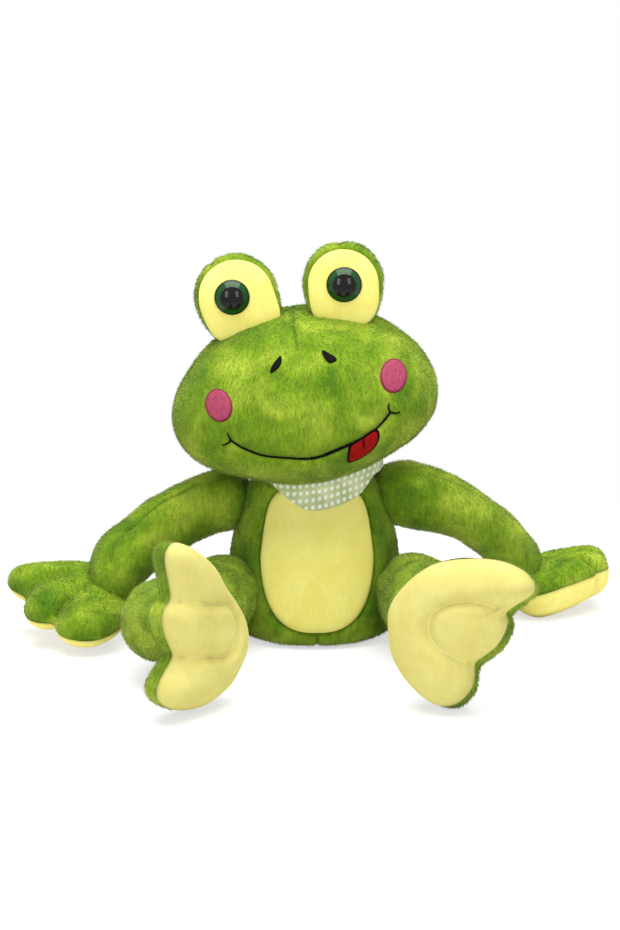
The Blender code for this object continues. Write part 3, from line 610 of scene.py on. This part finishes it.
eye_places = {}
for side, (x, z, ahead, lean, size, (front_size, lift), aside, slant, (eye_across, eye_up)) in stalks.items():
    up = Matrix.Rotation(radians(lean), 3, "Y") @ Vector((0, 0, 1))
    forward = Vector((0, -1, 0.10))
    forward = (forward - up * forward.dot(up)).normalized()
    across = forward.cross(up)
    middle = at(x, -ahead, z)
    stand = (middle, across, up, forward)
    eye_places[side] = (middle + (forward * 16.2 + across * eye_across + up * eye_up) * mm, across, forward)
    bowl = cushion(stand, bowl_levels, size, 1.3)
    drawn_down(bowl, stand, 9, 0.30, slant)
    dent(bowl, 13, 0.7, 6 + lean)
    nick = [middle + up * 27 * mm + forward * w * mm + across * aside * mm for w in range(-10, 14, 3)]
    stitch(bowl, nick, 1.8, 2.2, 0.6)
    made = finished(f"eye_stalk_{side}", bowl, green_plush, "head", "green_plush",
                    f"eye_stalk_back_{side}", f"eye_stalk_stuffing_{side}")
    front = cushion(stand, front_levels, front_size, lift)
    drawn_down(front, stand, 8, 0.55, slant)
    dent(front, 16, 0.4, 8 + lean)
    made = finished(f"eye_stalk_yellow_{side}", front, yellow_plush, "head", "yellow_plush", f"eye_stalk_front_{side}")

# The safety eyes are glossy domes of moulded plastic: a black rim, a dark green iris and a black pupil
# under clear plastic. A stem goes through the cloth to a washer behind it, which stays as it is.


def glossy(name, colour, rough=0.04):
    made, tree, body = material(name)
    place = node(tree, "ShaderNodeTexCoord").outputs["Object"]
    cloud = node(tree, "ShaderNodeTexNoise", Vector=place, Scale=300, Detail=2)
    dark = tuple(c * 0.75 for c in colour[:3]) + (1,)
    set_inputs(tree, body, {
        "Base Color": tones(tree, cloud.outputs["Fac"], (0, dark), (1, colour)), "Roughness": rough,
        "Specular IOR Level": 0.05, "Coat Weight": 0.62, "Coat IOR": 1.38, "Coat Roughness": 0.02,
    })
    return made


pupil_black = glossy("pupil_black", (0.004, 0.004, 0.004, 1))
iris_green = glossy("iris_green", (0.006, 0.060, 0.009, 1), 0.15)
rim_black = glossy("rim_black", (0.006, 0.008, 0.006, 1), 0.12)
white_plastic = glossy("white_plastic", (0.8, 0.8, 0.77, 1), 0.35)
pupil_radius, iris_radius = 7.4, 10.3
eye_profile = (  # radius, height over the cloth
    (0, 6.6), (1.6, 6.52), (3.4, 6.2), (5.2, 5.6), (6.8, 4.8), (7.3, 4.5), (8.3, 3.75), (9.4, 2.7), (10.2, 1.7),
    (10.45, 1.5), (11.0, 1.3), (11.2, 0.7), (11.0, 0.0), (9.5, -0.6), (0, -0.6),
)
for side, (base, across, forward) in eye_places.items():
    dome = bmesh.new()
    line = [dome.verts.new(base + across * r * mm + forward * h * mm) for r, h in eye_profile]
    for a, b in zip(line, line[1:]):
        dome.edges.new((a, b))
    bmesh.ops.spin(dome, geom=dome.verts[:] + dome.edges[:], cent=base, axis=forward, angle=2 * pi, steps=56,
                   use_merge=True)
    bmesh.ops.remove_doubles(dome, verts=dome.verts, dist=1e-6)
    bmesh.ops.recalc_face_normals(dome, faces=dome.faces)
    mesh = smooth_mesh(dome, 1)
    finished(f"eye_dome_{side}", mesh, pupil_black, "head", "eye_plastic", f"safety_eye_{side}")
    mesh.materials.append(iris_green)
    mesh.materials.append(rim_black)
    for part in mesh.polygons:
        out = part.center - base
        out -= forward * out.dot(forward)
        part.material_index = int(out.length >= pupil_radius * mm) + int(out.length >= iris_radius * mm)
    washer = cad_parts[f"eye_washer_{side}"]
    washer.data.materials.clear()
    washer.data.materials.append(white_plastic)

# The face is machine embroidery on the plush: pink cheeks in satin stitch with a darker edge, black
# nostrils and mouth line, and a red tongue edged in black.


def thread(name, dark, light, gloss=0.25):
    """Close rows of shiny stitches, too fine to tell apart."""
    made, tree, body = material(name)
    place = node(tree, "ShaderNodeTexCoord")
    lie = node(tree, "ShaderNodeMapping", Vector=place.outputs["Object"], Scale=(1, 1, 2.4))
    speck = node(tree, "ShaderNodeTexNoise", Vector=lie.outputs["Vector"], Scale=850, Detail=3, Roughness=0.7)
    raised = node(tree, "ShaderNodeBump", Strength=0.5, Distance=0.0005, Height=speck.outputs["Fac"])
    set_inputs(tree, body, {
        "Base Color": tones(tree, speck.outputs["Fac"], (0.36, dark), (0.64, light)), "Normal": raised.outputs[0],
        "Roughness": 0.6, "Specular IOR Level": gloss,
    })
    return made


pink_thread = thread("pink_thread", dye(124, 40, 64), dye(170, 72, 100))
pink_edge = thread("pink_edge_thread", dye(100, 22, 46), dye(128, 34, 62))
black_thread = thread("black_thread", dye(6, 6, 6), dye(24, 24, 22), 0.05)
red_thread = thread("red_thread", dye(118, 6, 5), dye(158, 14, 11), 0.1)


def patch(outline, lift):
    """A patch of stitches on the face inside an outline of across and up millimetres, raised in its middle."""
    outline = np.array(outline)
    middle = outline.mean(0)
    sunk = 0.5
    bm = filled_disc(len(outline), (1.0, 0.97, 0.9, 0.75, 0.5, 0.25))
    for v in bm.verts:
        reach = min(v.co.length, 1)
        turn = (np.arctan2(v.co.y, v.co.x) / (2 * pi)) % 1 * len(outline)
        x, z = middle + (outline[int(round(turn)) % len(outline)] - middle) * reach
        rise = min((1 - reach) / 0.10, 1) ** 0.5
        v.co = laid(face, x, z, lift=-sunk + (lift + sunk) * rise)
    bmesh.ops.recalc_face_normals(bm, faces=bm.faces)
    mesh = smooth_mesh(bm, 1)
    if sum(p.normal.y * p.area for p in mesh.polygons) > 0:
        mesh.flip_normals()
    return mesh


def heading(places, i):
    """Which way a row of places runs at one of them."""
    return (places[min(i + 1, len(places) - 1)] - places[max(i - 1, 0)]).normalized()


def hoop_across(place, ahead, out, half_across, half_out):
    """A hoop square to the way that a row runs."""
    across = ahead.cross(Vector(out)).normalized()
    return hoop(place, across, across.cross(ahead), half_across, half_out)


def satin_line(run, widths, height):
    """A raised line of stitches on the face along across and up places."""
    places = [laid(face, x, z, lift=0.15) for x, z in run]
    hoops = [hoop_across(place, heading(places, i), (0, -1, 0), wide, height * min(1, wide + 0.2))
             for i, (place, wide) in enumerate(zip(places, widths))]
    return stuffed(8, 2, hoops, 1)


def oval_outline(x, z, wide, tall, lean, count=40):
    turn = radians(lean)
    made = []
    for i in range(count):
        a, b = wide / 2 * cos(2 * pi * i / count), tall / 2 * sin(2 * pi * i / count)
        made.append((x + a * cos(turn) - b * sin(turn), z + a * sin(turn) + b * cos(turn)))
    return made


for side, x, z, lean in (("right", -51.9, 16.0, 11), ("left", 58.0, 16.8, 5)):
    x, z = in_head(x, z)
    rim = patch(oval_outline(x, z, 17.8, 20.6, lean), 0.7)
    finished(f"cheek_edge_{side}", rim, pink_edge, "head", "pink_thread")
    middle = patch(oval_outline(x, z, 16.0, 18.8, lean), 1.3)
    finished(f"cheek_satin_{side}", middle, pink_thread, "head", "pink_thread", f"cheek_{side}")


def in_turn(run):
    """The places of a closed run in turn about its middle."""
    middle = np.array(run).mean(0)
    return sorted(run, key=lambda p: np.arctan2(p[1] - middle[1], p[0] - middle[0]) % (2 * pi))


nostrils = {
    "right": [(-9.0, 40.6), (-8.8, 37.4), (-11.2, 33.9), (-16.0, 31.4), (-17.2, 32.4), (-15.0, 35.8), (-12.0, 38.4)],
    "left": [(16.8, 40.0), (20.2, 37.8), (24.6, 34.2), (24.4, 32.4), (20.4, 31.8), (18.2, 33.8), (16.4, 37.4)],
}
for side, outline in nostrils.items():
    mesh = patch(in_turn(face_run(outline, 4, closed=True)), 0.9)
    finished(f"nostril_satin_{side}", mesh, black_thread, "head", "black_thread", f"nostril_{side}")

tongue_outline = [(25.4, -19.6), (30, -17.6), (36, -15.0), (42.2, -12.9), (43.2, -16.5), (42.0, -20), (39.6, -23.6),
                  (35, -27), (29, -29.6), (22.4, -30.8), (22.6, -26.5), (23.8, -22.5)]
tongue_run = face_run(tongue_outline, 5, closed=True)
finished("tongue_satin", patch(in_turn(tongue_run), 1.2), red_thread, "head", "red_thread", "tongue")
tongue_edge = satin_line(tongue_run + tongue_run[:1], [0.75] * (len(tongue_run) + 1), 1.6)
finished("tongue_edge", tongue_edge, black_thread, "head", "black_thread")
fold_run = [in_head(x, z) for x, z in ((34.0, -16.4), (33.4, -19), (32.8, -21.4), (33.4, -23.4))]
finished("tongue_fold", satin_line(fold_run, [0.7, 0.8, 0.7, 0.4], 2.3), black_thread, "head", "black_thread")

mouth_widths = np.interp(np.linspace(0, 1, len(mouth_run)), (0, 0.05, 0.3, 0.5, 0.58, 0.66, 0.72, 0.8, 0.95, 1),
                         (0.6, 0.8, 0.75, 1.0, 1.25, 1.05, 0.45, 0.55, 0.85, 0.6))
finished("mouth_satin", satin_line(mouth_run, mouth_widths, 1.0), black_thread, "head", "black_thread", "mouth")
ticks = {
    "mouth_corner_right_up": [(-47.7, -5.8), (-48.6, -3.4), (-49.0, -0.6)],
    "mouth_corner_right_out": [(-47.7, -5.8), (-50.5, -7.6), (-53.6, -8.2)],
    "mouth_corner_left_up": [(52.6, -4.2), (51.8, -1.2), (52.4, 1.6)],
    "mouth_corner_left_out": [(52.6, -4.2), (55.6, -5.4), (58.4, -5.0)],
}
for name, line in ticks.items():
    run = face_run(line, 3)
    finished(name, satin_line(run, np.linspace(0.8, 0.5, len(run)), 1.0), black_thread, "head", "black_thread")

# Each arm is a soft tube of green plush, sewn to the shoulder and drawn in at the wrist. Its long seam
# runs along the upper edge. A round end at the shoulder lets it swing.


def limb_run(path, radii, per_span):
    """Places and radii at even steps along a limb, in millimetres from the seat."""
    line = [Vector(p) for p in smooth_line(path, per_span)]
    return line, [float(r[0]) for r in smooth_line([(r,) for r in radii], per_span)]


def limb(path, radii):
    """A stuffed tube along a smooth curve, with a round cap at each end."""
    line, sizes = limb_run(path, radii, 3)
    start, end = heading(line[:2], 0), heading(line[-2:], 1)
    rings = [(line[0] - start * (sizes[0] * cos(radians(step))), start, sizes[0] * sin(radians(step)))
             for step in (15, 40, 65)]
    rings += [(place, heading(line, i), size) for i, (place, size) in enumerate(zip(line, sizes))]
    rings += [(line[-1] + end * (sizes[-1] * cos(radians(step))), end, sizes[-1] * sin(radians(step)))
              for step in (65, 40, 15)]
    return stuffed(18, 2, [hoop_across(at(*place), ahead, (0, 0, 1), size, size) for place, ahead, size in rings], 2)


arm_paths = {
    "right": ([(-55.5, 0, 86.0), (-68, -1, 82.6), (-82, -5, 77.0), (-97, -10, 69.4), (-111, -18, 59.6),
               (-121, -25, 50.8), (-124.5, -30, 42.5)], [20.6, 20, 19.4, 19.4, 19.6, 20.0, 18.4]),
    "left": ([(60.5, 0, 90.0), (72, 0, 87.6), (86, 1, 83.2), (100, 3, 77.0), (114, 7, 67.0),
              (126.5, 15, 55.0), (138.5, 25, 40.0)], [21.8, 21.2, 19.9, 18.6, 17.5, 16.6, 15.2]),
}
for side, (path, radii) in arm_paths.items():
    sleeve = limb(path, radii)
    seed = 10 if side == "right" else 11
    dent(sleeve, 26, 1.5, seed)
    dent(sleeve, 9, 0.5, seed + 0.5)
    line, sizes = limb_run(path, radii, 6)
    upper_edge = Vector((0, -0.45, 0.89))
    long_seam = []
    for i in range(6, len(line) - 3):
        ahead = heading(line, i)
        long_seam.append(at(*(line[i] + (upper_edge - ahead * upper_edge.dot(ahead)).normalized() * sizes[i])))
    stitch(sleeve, long_seam, 1.0, 1.8)
    made = finished(f"arm_{side}_plush", sleeve, green_plush, f"arm_{side}", "green_plush",
                    f"arm_skin_{side}", f"arm_stuffing_{side}")

# Each hand is a mitten with three fat round fingers: a green back and a yellow palm, sewn together round
# the edge, with a stitched crease between the fingers.


def flat_frame(middle, ahead, out):
    """The frame of a hand or foot: x towards the toes, z out of its back."""
    x = Vector(ahead).normalized()
    z = (Vector(out) - x * x.dot(Vector(out))).normalized()
    y = z.cross(x)
    return Matrix.Translation(at(*middle)) @ Matrix((x, y, z)).transposed().to_4x4()


def half_pillow(outline, middle, tall, side, creases, crease_keep, crease_width, edge_width, overhang, lean=(0, 0)):
    """One sewn half of a hand or foot, swelling from its edge and held down along stitched creases."""
    outline = np.array(smooth_line(outline, 6, closed=True))
    middle = np.array(middle, float)
    bm = filled_disc(120, [1.0, 0.992, 0.975, 0.95, 0.92] + [0.885 - 0.04 * step for step in range(20)])
    angles = np.arctan2(outline[:, 1] - middle[1], outline[:, 0] - middle[0])
    order = np.argsort(angles)
    order = np.concatenate((order[-1:], order, order[:1]))
    angles = angles[order] + np.concatenate(([-2 * pi], np.zeros(len(order) - 2), [2 * pi]))
    reach = np.linalg.norm(outline - middle, axis=1)[order]
    flat = np.array([(v.co.x, v.co.y) for v in bm.verts])
    turn = np.arctan2(flat[:, 1], flat[:, 0])
    share = np.minimum(np.linalg.norm(flat, axis=1), 1)
    out = np.interp(turn, angles, reach) * share
    xy = middle + np.column_stack((np.cos(turn), np.sin(turn))) * out[:, None]
    flat = np.column_stack((xy, np.zeros(len(xy))))
    edge = [np.append(p, 0) for p in outline] + [np.append(outline[0], 0)]
    edge_off = np.clip(off_line(flat, edge) / edge_width, 0, 1)
    edge_off[share > 0.9999] = 0
    rise = (1 - (1 - edge_off) ** 2) ** 0.5
    away = (xy - middle) / np.maximum(np.linalg.norm(xy - middle, axis=1), 1)[:, None]
    xy = xy + away * (overhang * np.sin(pi * np.clip(edge_off / 0.45, 0, 1)))[:, None] + np.outer(rise, lean)
    for crease in creases:
        near = np.clip(off_line(flat, [np.append(p, 0) for p in crease]) / crease_width, 0, 1)
        rise *= crease_keep + (1 - crease_keep) * (1 - (1 - near) ** 2) ** 0.5
    for v, (x, y), r in zip(bm.verts, xy, rise):
        v.co = Vector((x, y, side * r * tall)) * mm
    inner = [v for v in bm.verts if not v.is_boundary]
    for again in range(3):
        bmesh.ops.smooth_vert(bm, verts=inner, factor=0.5, use_axis_x=True, use_axis_y=True, use_axis_z=True)
    bmesh.ops.recalc_face_normals(bm, faces=bm.faces)
    mesh = smooth_mesh(bm, 1)
    if sum(p.normal.z * p.area for p in mesh.polygons) * side < 0:
        mesh.flip_normals()
    return mesh


def stitch_flat(mesh, line, height, depth, width, shade):
    """A seam on a half that still lies flat, along places in its own plane."""
    stitch(mesh, [Vector((x, y, height)) * mm for x, y in line], depth, width, shade)


hand_places = {
    "right": ((-152.0, -40, 24.2), (-0.82, -0.57, -0.20), (-0.10, -0.44, 1.0)),
    "left": ((169.5, 29, 23.0), (0.97, 0.0, 0.23), (-0.22, 0.04, 0.97)),
}
hand_outlines = {
    "right": [(18, -51), (22, -42), (19.5, -31), (20, -24), (26.5, -17), (30, -7), (27, 2), (20.5, 8), (22, 15),
              (22.5, 24), (16, 34), (4, 40), (-10, 38), (-22, 29), (-32, 15), (-38, -3), (-36, -20), (-27, -34),
              (-13, -44), (3, -52), (12, -54)],
    "left": [(-37, 5), (-36, -8), (-29, -18), (-16, -22), (2, -15), (12, -9.5), (19, -5), (22, -1), (21.5, 2),
             (27, 4), (31.5, 9), (32.5, 14.5), (31, 19), (28.5, 22), (32, 26), (33, 33), (30, 39), (21, 44.5),
             (7, 47), (-10, 47), (-26, 42), (-36, 32), (-39, 18)],
}
hand_creases = {
    "right": ([(22, -27.5), (8, -23), (-8, -19)], [(22, 9), (8, 5.5), (-6, 2)]),
    "left": ([(23, 1.5), (14, 6), (1, 9)], [(30, 22), (14, 20), (-6, 22)]),
}
hand_middles = {"right": (-6, -4), "left": (-2, 13)}
hand_heights = {"right": (14.8, 12.0), "left": (16, 20)}
for side, place in hand_places.items():
    outline, creases = hand_outlines[side], hand_creases[side]
    back_height, palm_height = hand_heights[side]
    for half, tall, facing, cloth, slot, nodes in (
        ("back", back_height, 1, green_plush, "green_plush", (f"hand_back_{side}", f"hand_stuffing_{side}")),
        ("palm", palm_height, -1, yellow_plush, "yellow_plush", (f"hand_palm_{side}",)),
    ):
        mesh = half_pillow(outline, hand_middles[side], tall, facing, creases, 0.32, 8, 21, 0.8)
        for crease in creases:
            stitch_flat(mesh, crease, facing * 6, 1.2, 1.8, 0.9)
        # Painted shade only, with no groove: the colour darkens in a band along the edge where the two halves are sewn.
        stitch_flat(mesh, smooth_line(outline, 3, closed=True), 0, 0, 2.4, 0.6)
        mesh.transform(flat_frame(*place))
        dent(mesh, 17, 0.7, 12 + facing)
        made = finished(f"hand_{half}_plush_{side}", mesh, cloth, f"hand_{side}", slot, *nodes)

# The legs are short thick tubes of green plush, sewn into the sides of the seat and bent out in front.
leg_paths = {
    "right": ([(-57, -38, 33.0), (-65, -56, 31.0), (-74, -78, 32.0), (-86, -100, 34.5), (-92, -120, 37),
               (-88, -138, 41), (-79, -150, 45)], [25.5, 27, 27, 25.5, 23.5, 21, 19.5]),
    "left": ([(67, -38, 34.5), (71, -56, 33.0), (76, -78, 34), (83, -98, 39.5), (85, -116, 44.5),
              (83, -135, 49), (81, -151, 53)], [26, 27.5, 27.5, 25.5, 23.5, 21, 19.5]),
}
for side, (path, radii) in leg_paths.items():
    leg = limb(path, radii)
    seed = 20 if side == "right" else 21
    dent(leg, 24, 1.5, seed)
    dent(leg, 9, 0.5, seed + 0.5)
    dent(leg, 10, 1.5, seed + 0.7, (0.35, 0.35, 1.5))
    made = finished(f"leg_{side}_plush", leg, green_plush, f"leg_{side}", "green_plush",
                    f"leg_skin_{side}", f"leg_stuffing_{side}")

# Each foot is a big webbed cushion with three round toes, green above and yellow below. A line of
# quilting sets the middle toe off from the others on the sole.
foot_places = {
    "right": ((-61.5, -180, 47.5), (-0.62, -0.78, -0.03), (-0.78, 0.62, 0.0)),
    "left": ((80.5, -185, 51.1), (0.78, -0.30, -0.54), (0.34, 0.93, 0.0)),
}
foot_outlines = {
    "right": [(31.0, 57), (23.2, 59.7), (8.8, 52.3), (-4.8, 40.8), (-13.5, 27.1), (-23.6, 14.0), (-30.5, 3.0),
              (-32.6, -7.1), (-30.4, -17.2), (-24.8, -27.0), (-17.8, -34.8), (-9, -39.6), (9.6, -42.7),
              (22.8, -41.1), (33.9, -37.0), (43, -28.5), (40.8, -18.8), (34.5, -12.7), (29.0, -6.9), (32.1, 0.5),
              (36.0, 9.3), (36.8, 17.8), (34.4, 23.2), (29.5, 26.8), (29.6, 33.9), (31.0, 41.9), (33.1, 50.1)],
    "left": [(-30.9, 19.6), (-35.2, 10.7), (-35.7, -1.2), (-32.5, -17.4), (-25.7, -30.3), (-13.1, -43.1),
             (4.1, -54.0), (18.7, -56.8), (28.3, -52.1), (27.7, -42.8), (20.9, -31.1), (25.3, -26.7), (28.2, -19.2),
             (29.0, -10.6), (26.9, -2.8), (24.1, 7.1), (28.1, 12.8), (31.2, 20), (30.7, 31.2), (25.4, 39.4),
             (15.1, 43.1), (1.3, 42.4), (-10.1, 38.6), (-22, 31.2)],
}
# The soles are the same yellow plush as the belly. Their colour is set darker as painted shade, because the front lamps
# light the soles more strongly than the belly.
sole_plush = plush("sole_plush", dye(194, 184, 102), dye(201, 192, 112), dye(208, 200, 124), 0.02, 0.7, 0.14)
foot_quilts = {
    "right": [(29.1, 26.4), (7.6, 21.4), (-10.8, 15.1), (-15.5, 5.5), (-14.6, -3.6), (-7.7, -13.4), (13.4, -9.5),
              (28.9, -6.5)],
    "left": [(20.7, -31.4), (10.2, -29.9), (-0.2, -23.8), (-8.4, -14.3), (-11.3, -4.4), (-8.1, 3.7), (-0.6, 8.5),
             (10.3, 8.2), (23.8, 6.6)],
}
quilt_thread = thread("quilting_thread", dye(222, 210, 140), dye(236, 228, 168))


def stitched_line(mesh, run, facing, radius=0.22):
    """The thread of a quilted line, laid in its groove on one half of a foot."""
    skin = on_skin(mesh)
    hits = [skin.ray_cast(Vector((x, y, facing * 60)) * mm, Vector((0, 0, -facing)))[0] for x, y in run]
    places = [hit for hit in hits if hit]
    return stuffed(6, 2, [hoop_across(place, heading(places, i), (0, 0, facing), radius, radius)
                          for i, place in enumerate(places)], 1)


foot_middles = {"right": (2, 4), "left": (2, -6)}
upper_overhang = {"right": 2.7, "left": 3.0}
upper_lean = {"right": (0, 0), "left": (5.9, 5.2)}
for side, place in foot_places.items():
    outline, turn = foot_outlines[side], flat_frame(*place)
    quilt = [tuple(p) for p in smooth_line(foot_quilts[side], 5)]
    for half, tall, facing, cloth, slot, nodes, keep, groove, edge_width, overhang, lean in (
        ("upper", 16.5, 1, green_plush, "green_plush", (f"foot_upper_{side}", f"foot_stuffing_{side}"),
         0.55, 9, 13, upper_overhang[side], upper_lean[side]),
        ("sole", 14.5, -1, sole_plush, "yellow_plush", (f"foot_sole_{side}",), 0.42, 5.5, 20, 0.8, (0, 0)),
    ):
        mesh = half_pillow(outline, foot_middles[side], tall, facing, [quilt], keep, groove, edge_width, overhang, lean)
        dent(mesh, 19, 0.7, 30 + facing)
        # The quilting is a real groove, with painted shade along it as well.
        stitch_flat(mesh, quilt, facing * tall * keep, 0.9, 1.6, 0.3)
        # Painted shade only, with no groove: the colour darkens in a band along the edge where the two halves are sewn.
        stitch_flat(mesh, smooth_line(outline, 3, closed=True), 0, 0, 2.4, 0.6)
        if half == "sole":
            quilting = stitched_line(mesh, quilt[1:-1], facing)
            quilting.transform(turn)
            finished(f"quilting_{side}", quilting, quilt_thread, f"foot_{side}", "yellow_plush")
        mesh.transform(turn)
        made = finished(f"foot_{half}_plush_{side}", mesh, cloth, f"foot_{side}", slot, *nodes)

# The green cloth carries a short pile, a couple of millimetres of soft fibre that lies down over the toy and
# swirls where hands have stroked it. It thins out in the seams and where two pieces press together.


def strand(length, width):
    """One lock of pile: a slender closed point that stands on the cloth."""
    rooted = 0.0002
    bm = bmesh.new()
    bmesh.ops.create_cone(bm, cap_ends=True, segments=3, radius1=width / 2, radius2=0, depth=length)
    bmesh.ops.translate(bm, vec=(0, 0, length / 2 - rooted), verts=bm.verts)
    mesh = bpy.data.meshes.new("strand")
    bm.to_mesh(mesh)
    bm.free()
    return bpy.data.objects.new("strand", mesh)


def vectors(tree, operation, *values):
    return node(tree, "ShaderNodeVectorMath", *values, operation=operation).outputs[0]


def napped(name, seed, shape, locks_per_mm2=0.75, lean=1.25, swirl=2.6, stray=0.35):
    """Nodes that grow pile on a cloth: locks at scattered points, laid down along it and turned by swirls."""
    group = bpy.data.node_groups.new(name, "GeometryNodeTree")
    group.interface.new_socket("Cloth", in_out="INPUT", socket_type="NodeSocketGeometry")
    group.interface.new_socket("Pile", in_out="OUTPUT", socket_type="NodeSocketGeometry")
    cloth = node(group, "NodeGroupInput")
    thick = node(group, "GeometryNodeInputNamedAttribute", data_type="FLOAT", Name="pile")
    many = maths(group, "MULTIPLY", thick.outputs["Attribute"], locks_per_mm2 / mm ** 2)
    points = node(group, "GeometryNodeDistributePointsOnFaces", Mesh=cloth.outputs[0], Density=many, Seed=seed)
    out = points.outputs["Normal"]
    place = node(group, "GeometryNodeInputPosition")
    eddies = node(group, "ShaderNodeTexNoise", Vector=place.outputs[0], Scale=1 / 0.022, Detail=3.0, Roughness=0.6)
    downward = Vector((0, 0, -1)) - Vector((0.5, 0.5, 0.5)) * swirl
    turned = vectors(group, "MULTIPLY_ADD", eddies.outputs["Color"], (swirl,) * 3, downward)
    flat = vectors(group, "SUBTRACT", turned, vectors(group, "PROJECT", turned, out))
    strays = node(group, "FunctionNodeRandomValue", data_type="FLOAT_VECTOR", Seed=seed + 1,
                  Min=(-stray,) * 3, Max=(stray,) * 3)
    strayed = vectors(group, "ADD", vectors(group, "NORMALIZE", flat), strays.outputs[0])
    raised = vectors(group, "MULTIPLY_ADD", strayed, (lean,) * 3, out)
    facing = node(group, "FunctionNodeAlignRotationToVector", axis="Z", Vector=raised)
    size = node(group, "FunctionNodeRandomValue", data_type="FLOAT", Seed=seed + 2)
    set_inputs(group, size, {2: 0.6, 3: 1.2})
    lock = node(group, "GeometryNodeObjectInfo", Object=shape)
    grown = node(group, "GeometryNodeInstanceOnPoints", Points=points.outputs["Points"],
                 Instance=lock.outputs["Geometry"], Rotation=facing.outputs[0], Scale=size.outputs[1])
    real = node(group, "GeometryNodeRealizeInstances", grown.outputs[0])
    node(group, "NodeGroupOutput", real.outputs[0])
    return group


def bare_where_pressed(mesh, others, sewn_to):
    """Notes on a cloth how thick its pile stands: none where it meets another piece or the floor, and thin in a seam.
    """
    co = points_of(mesh)
    thick = (co[:, 2] > 1.4 * mm).astype(float)
    thick *= 1 - 0.85 * np.clip(noted(mesh, "seam") * 1.5, 0, 1)
    for other, (tree, low, high) in others.items():
        clear = (1.5 if "satin" in other or "edge" in other else 0.5) * mm
        near = np.all((co > low - 4 * mm) & (co < high + 4 * mm), axis=1) & (thick > 0)
        for i in np.nonzero(near)[0]:
            point = Vector(co[i])
            hit, normal, index, distance = tree.find_nearest(point, 12 * mm)
            if hit and (distance < clear or (other != sewn_to and (point - hit).dot(normal) < 0)):
                thick[i] = 0
    note(mesh, "pile", thick)


bodies_of_green = {"torso": "torso", "head": "head"}
bodies_of_green.update({f"eye_stalk_{side}": "head" for side in stalks})
bodies_of_green.update({f"{kind}_{side}_plush": f"{kind}_{side}" for kind in ("arm", "leg") for side in stalks})
bodies_of_green.update({f"hand_back_plush_{side}": f"hand_{side}" for side in stalks})
bodies_of_green.update({f"foot_upper_plush_{side}": f"foot_{side}" for side in stalks})
soft_names = list(bodies_of_green) + ["belly", "neckerchief_cotton"] + [
    f"{name}_{side}" for side in stalks
    for name in ("eye_stalk_yellow", "cheek_edge", "nostril_satin", "hand_palm_plush", "foot_sole_plush")
] + ["mouth_satin", "tongue_satin"]
soft_skins = {}
for name in soft_names:
    mesh = bpy.data.objects[name].data
    co = points_of(mesh)
    soft_skins[name] = (on_skin(mesh), co.min(0), co.max(0))
lock = strand(2.3 * mm, 0.34 * mm)
for number, (name, body) in enumerate(bodies_of_green.items()):
    cloth = bpy.data.objects[name].data
    others = {other: skin for other, skin in soft_skins.items() if other != name}
    bare_where_pressed(cloth, others, name.replace("hand_back", "hand_palm").replace("foot_upper", "foot_sole"))
    carrier = placed("growing", cloth)
    carrier.modifiers.new("pile", "NODES").node_group = napped(f"pile_{name}", number, lock)
    grown = bpy.data.meshes.new_from_object(carrier.evaluated_get(bpy.context.evaluated_depsgraph_get()))
    bpy.data.objects.remove(carrier)
    if "pile" in grown.attributes:
        grown.attributes.remove(grown.attributes["pile"])
    finished(f"pile_on_{name}", grown, green_plush, body, "green_plush")
bpy.data.objects.remove(lock)
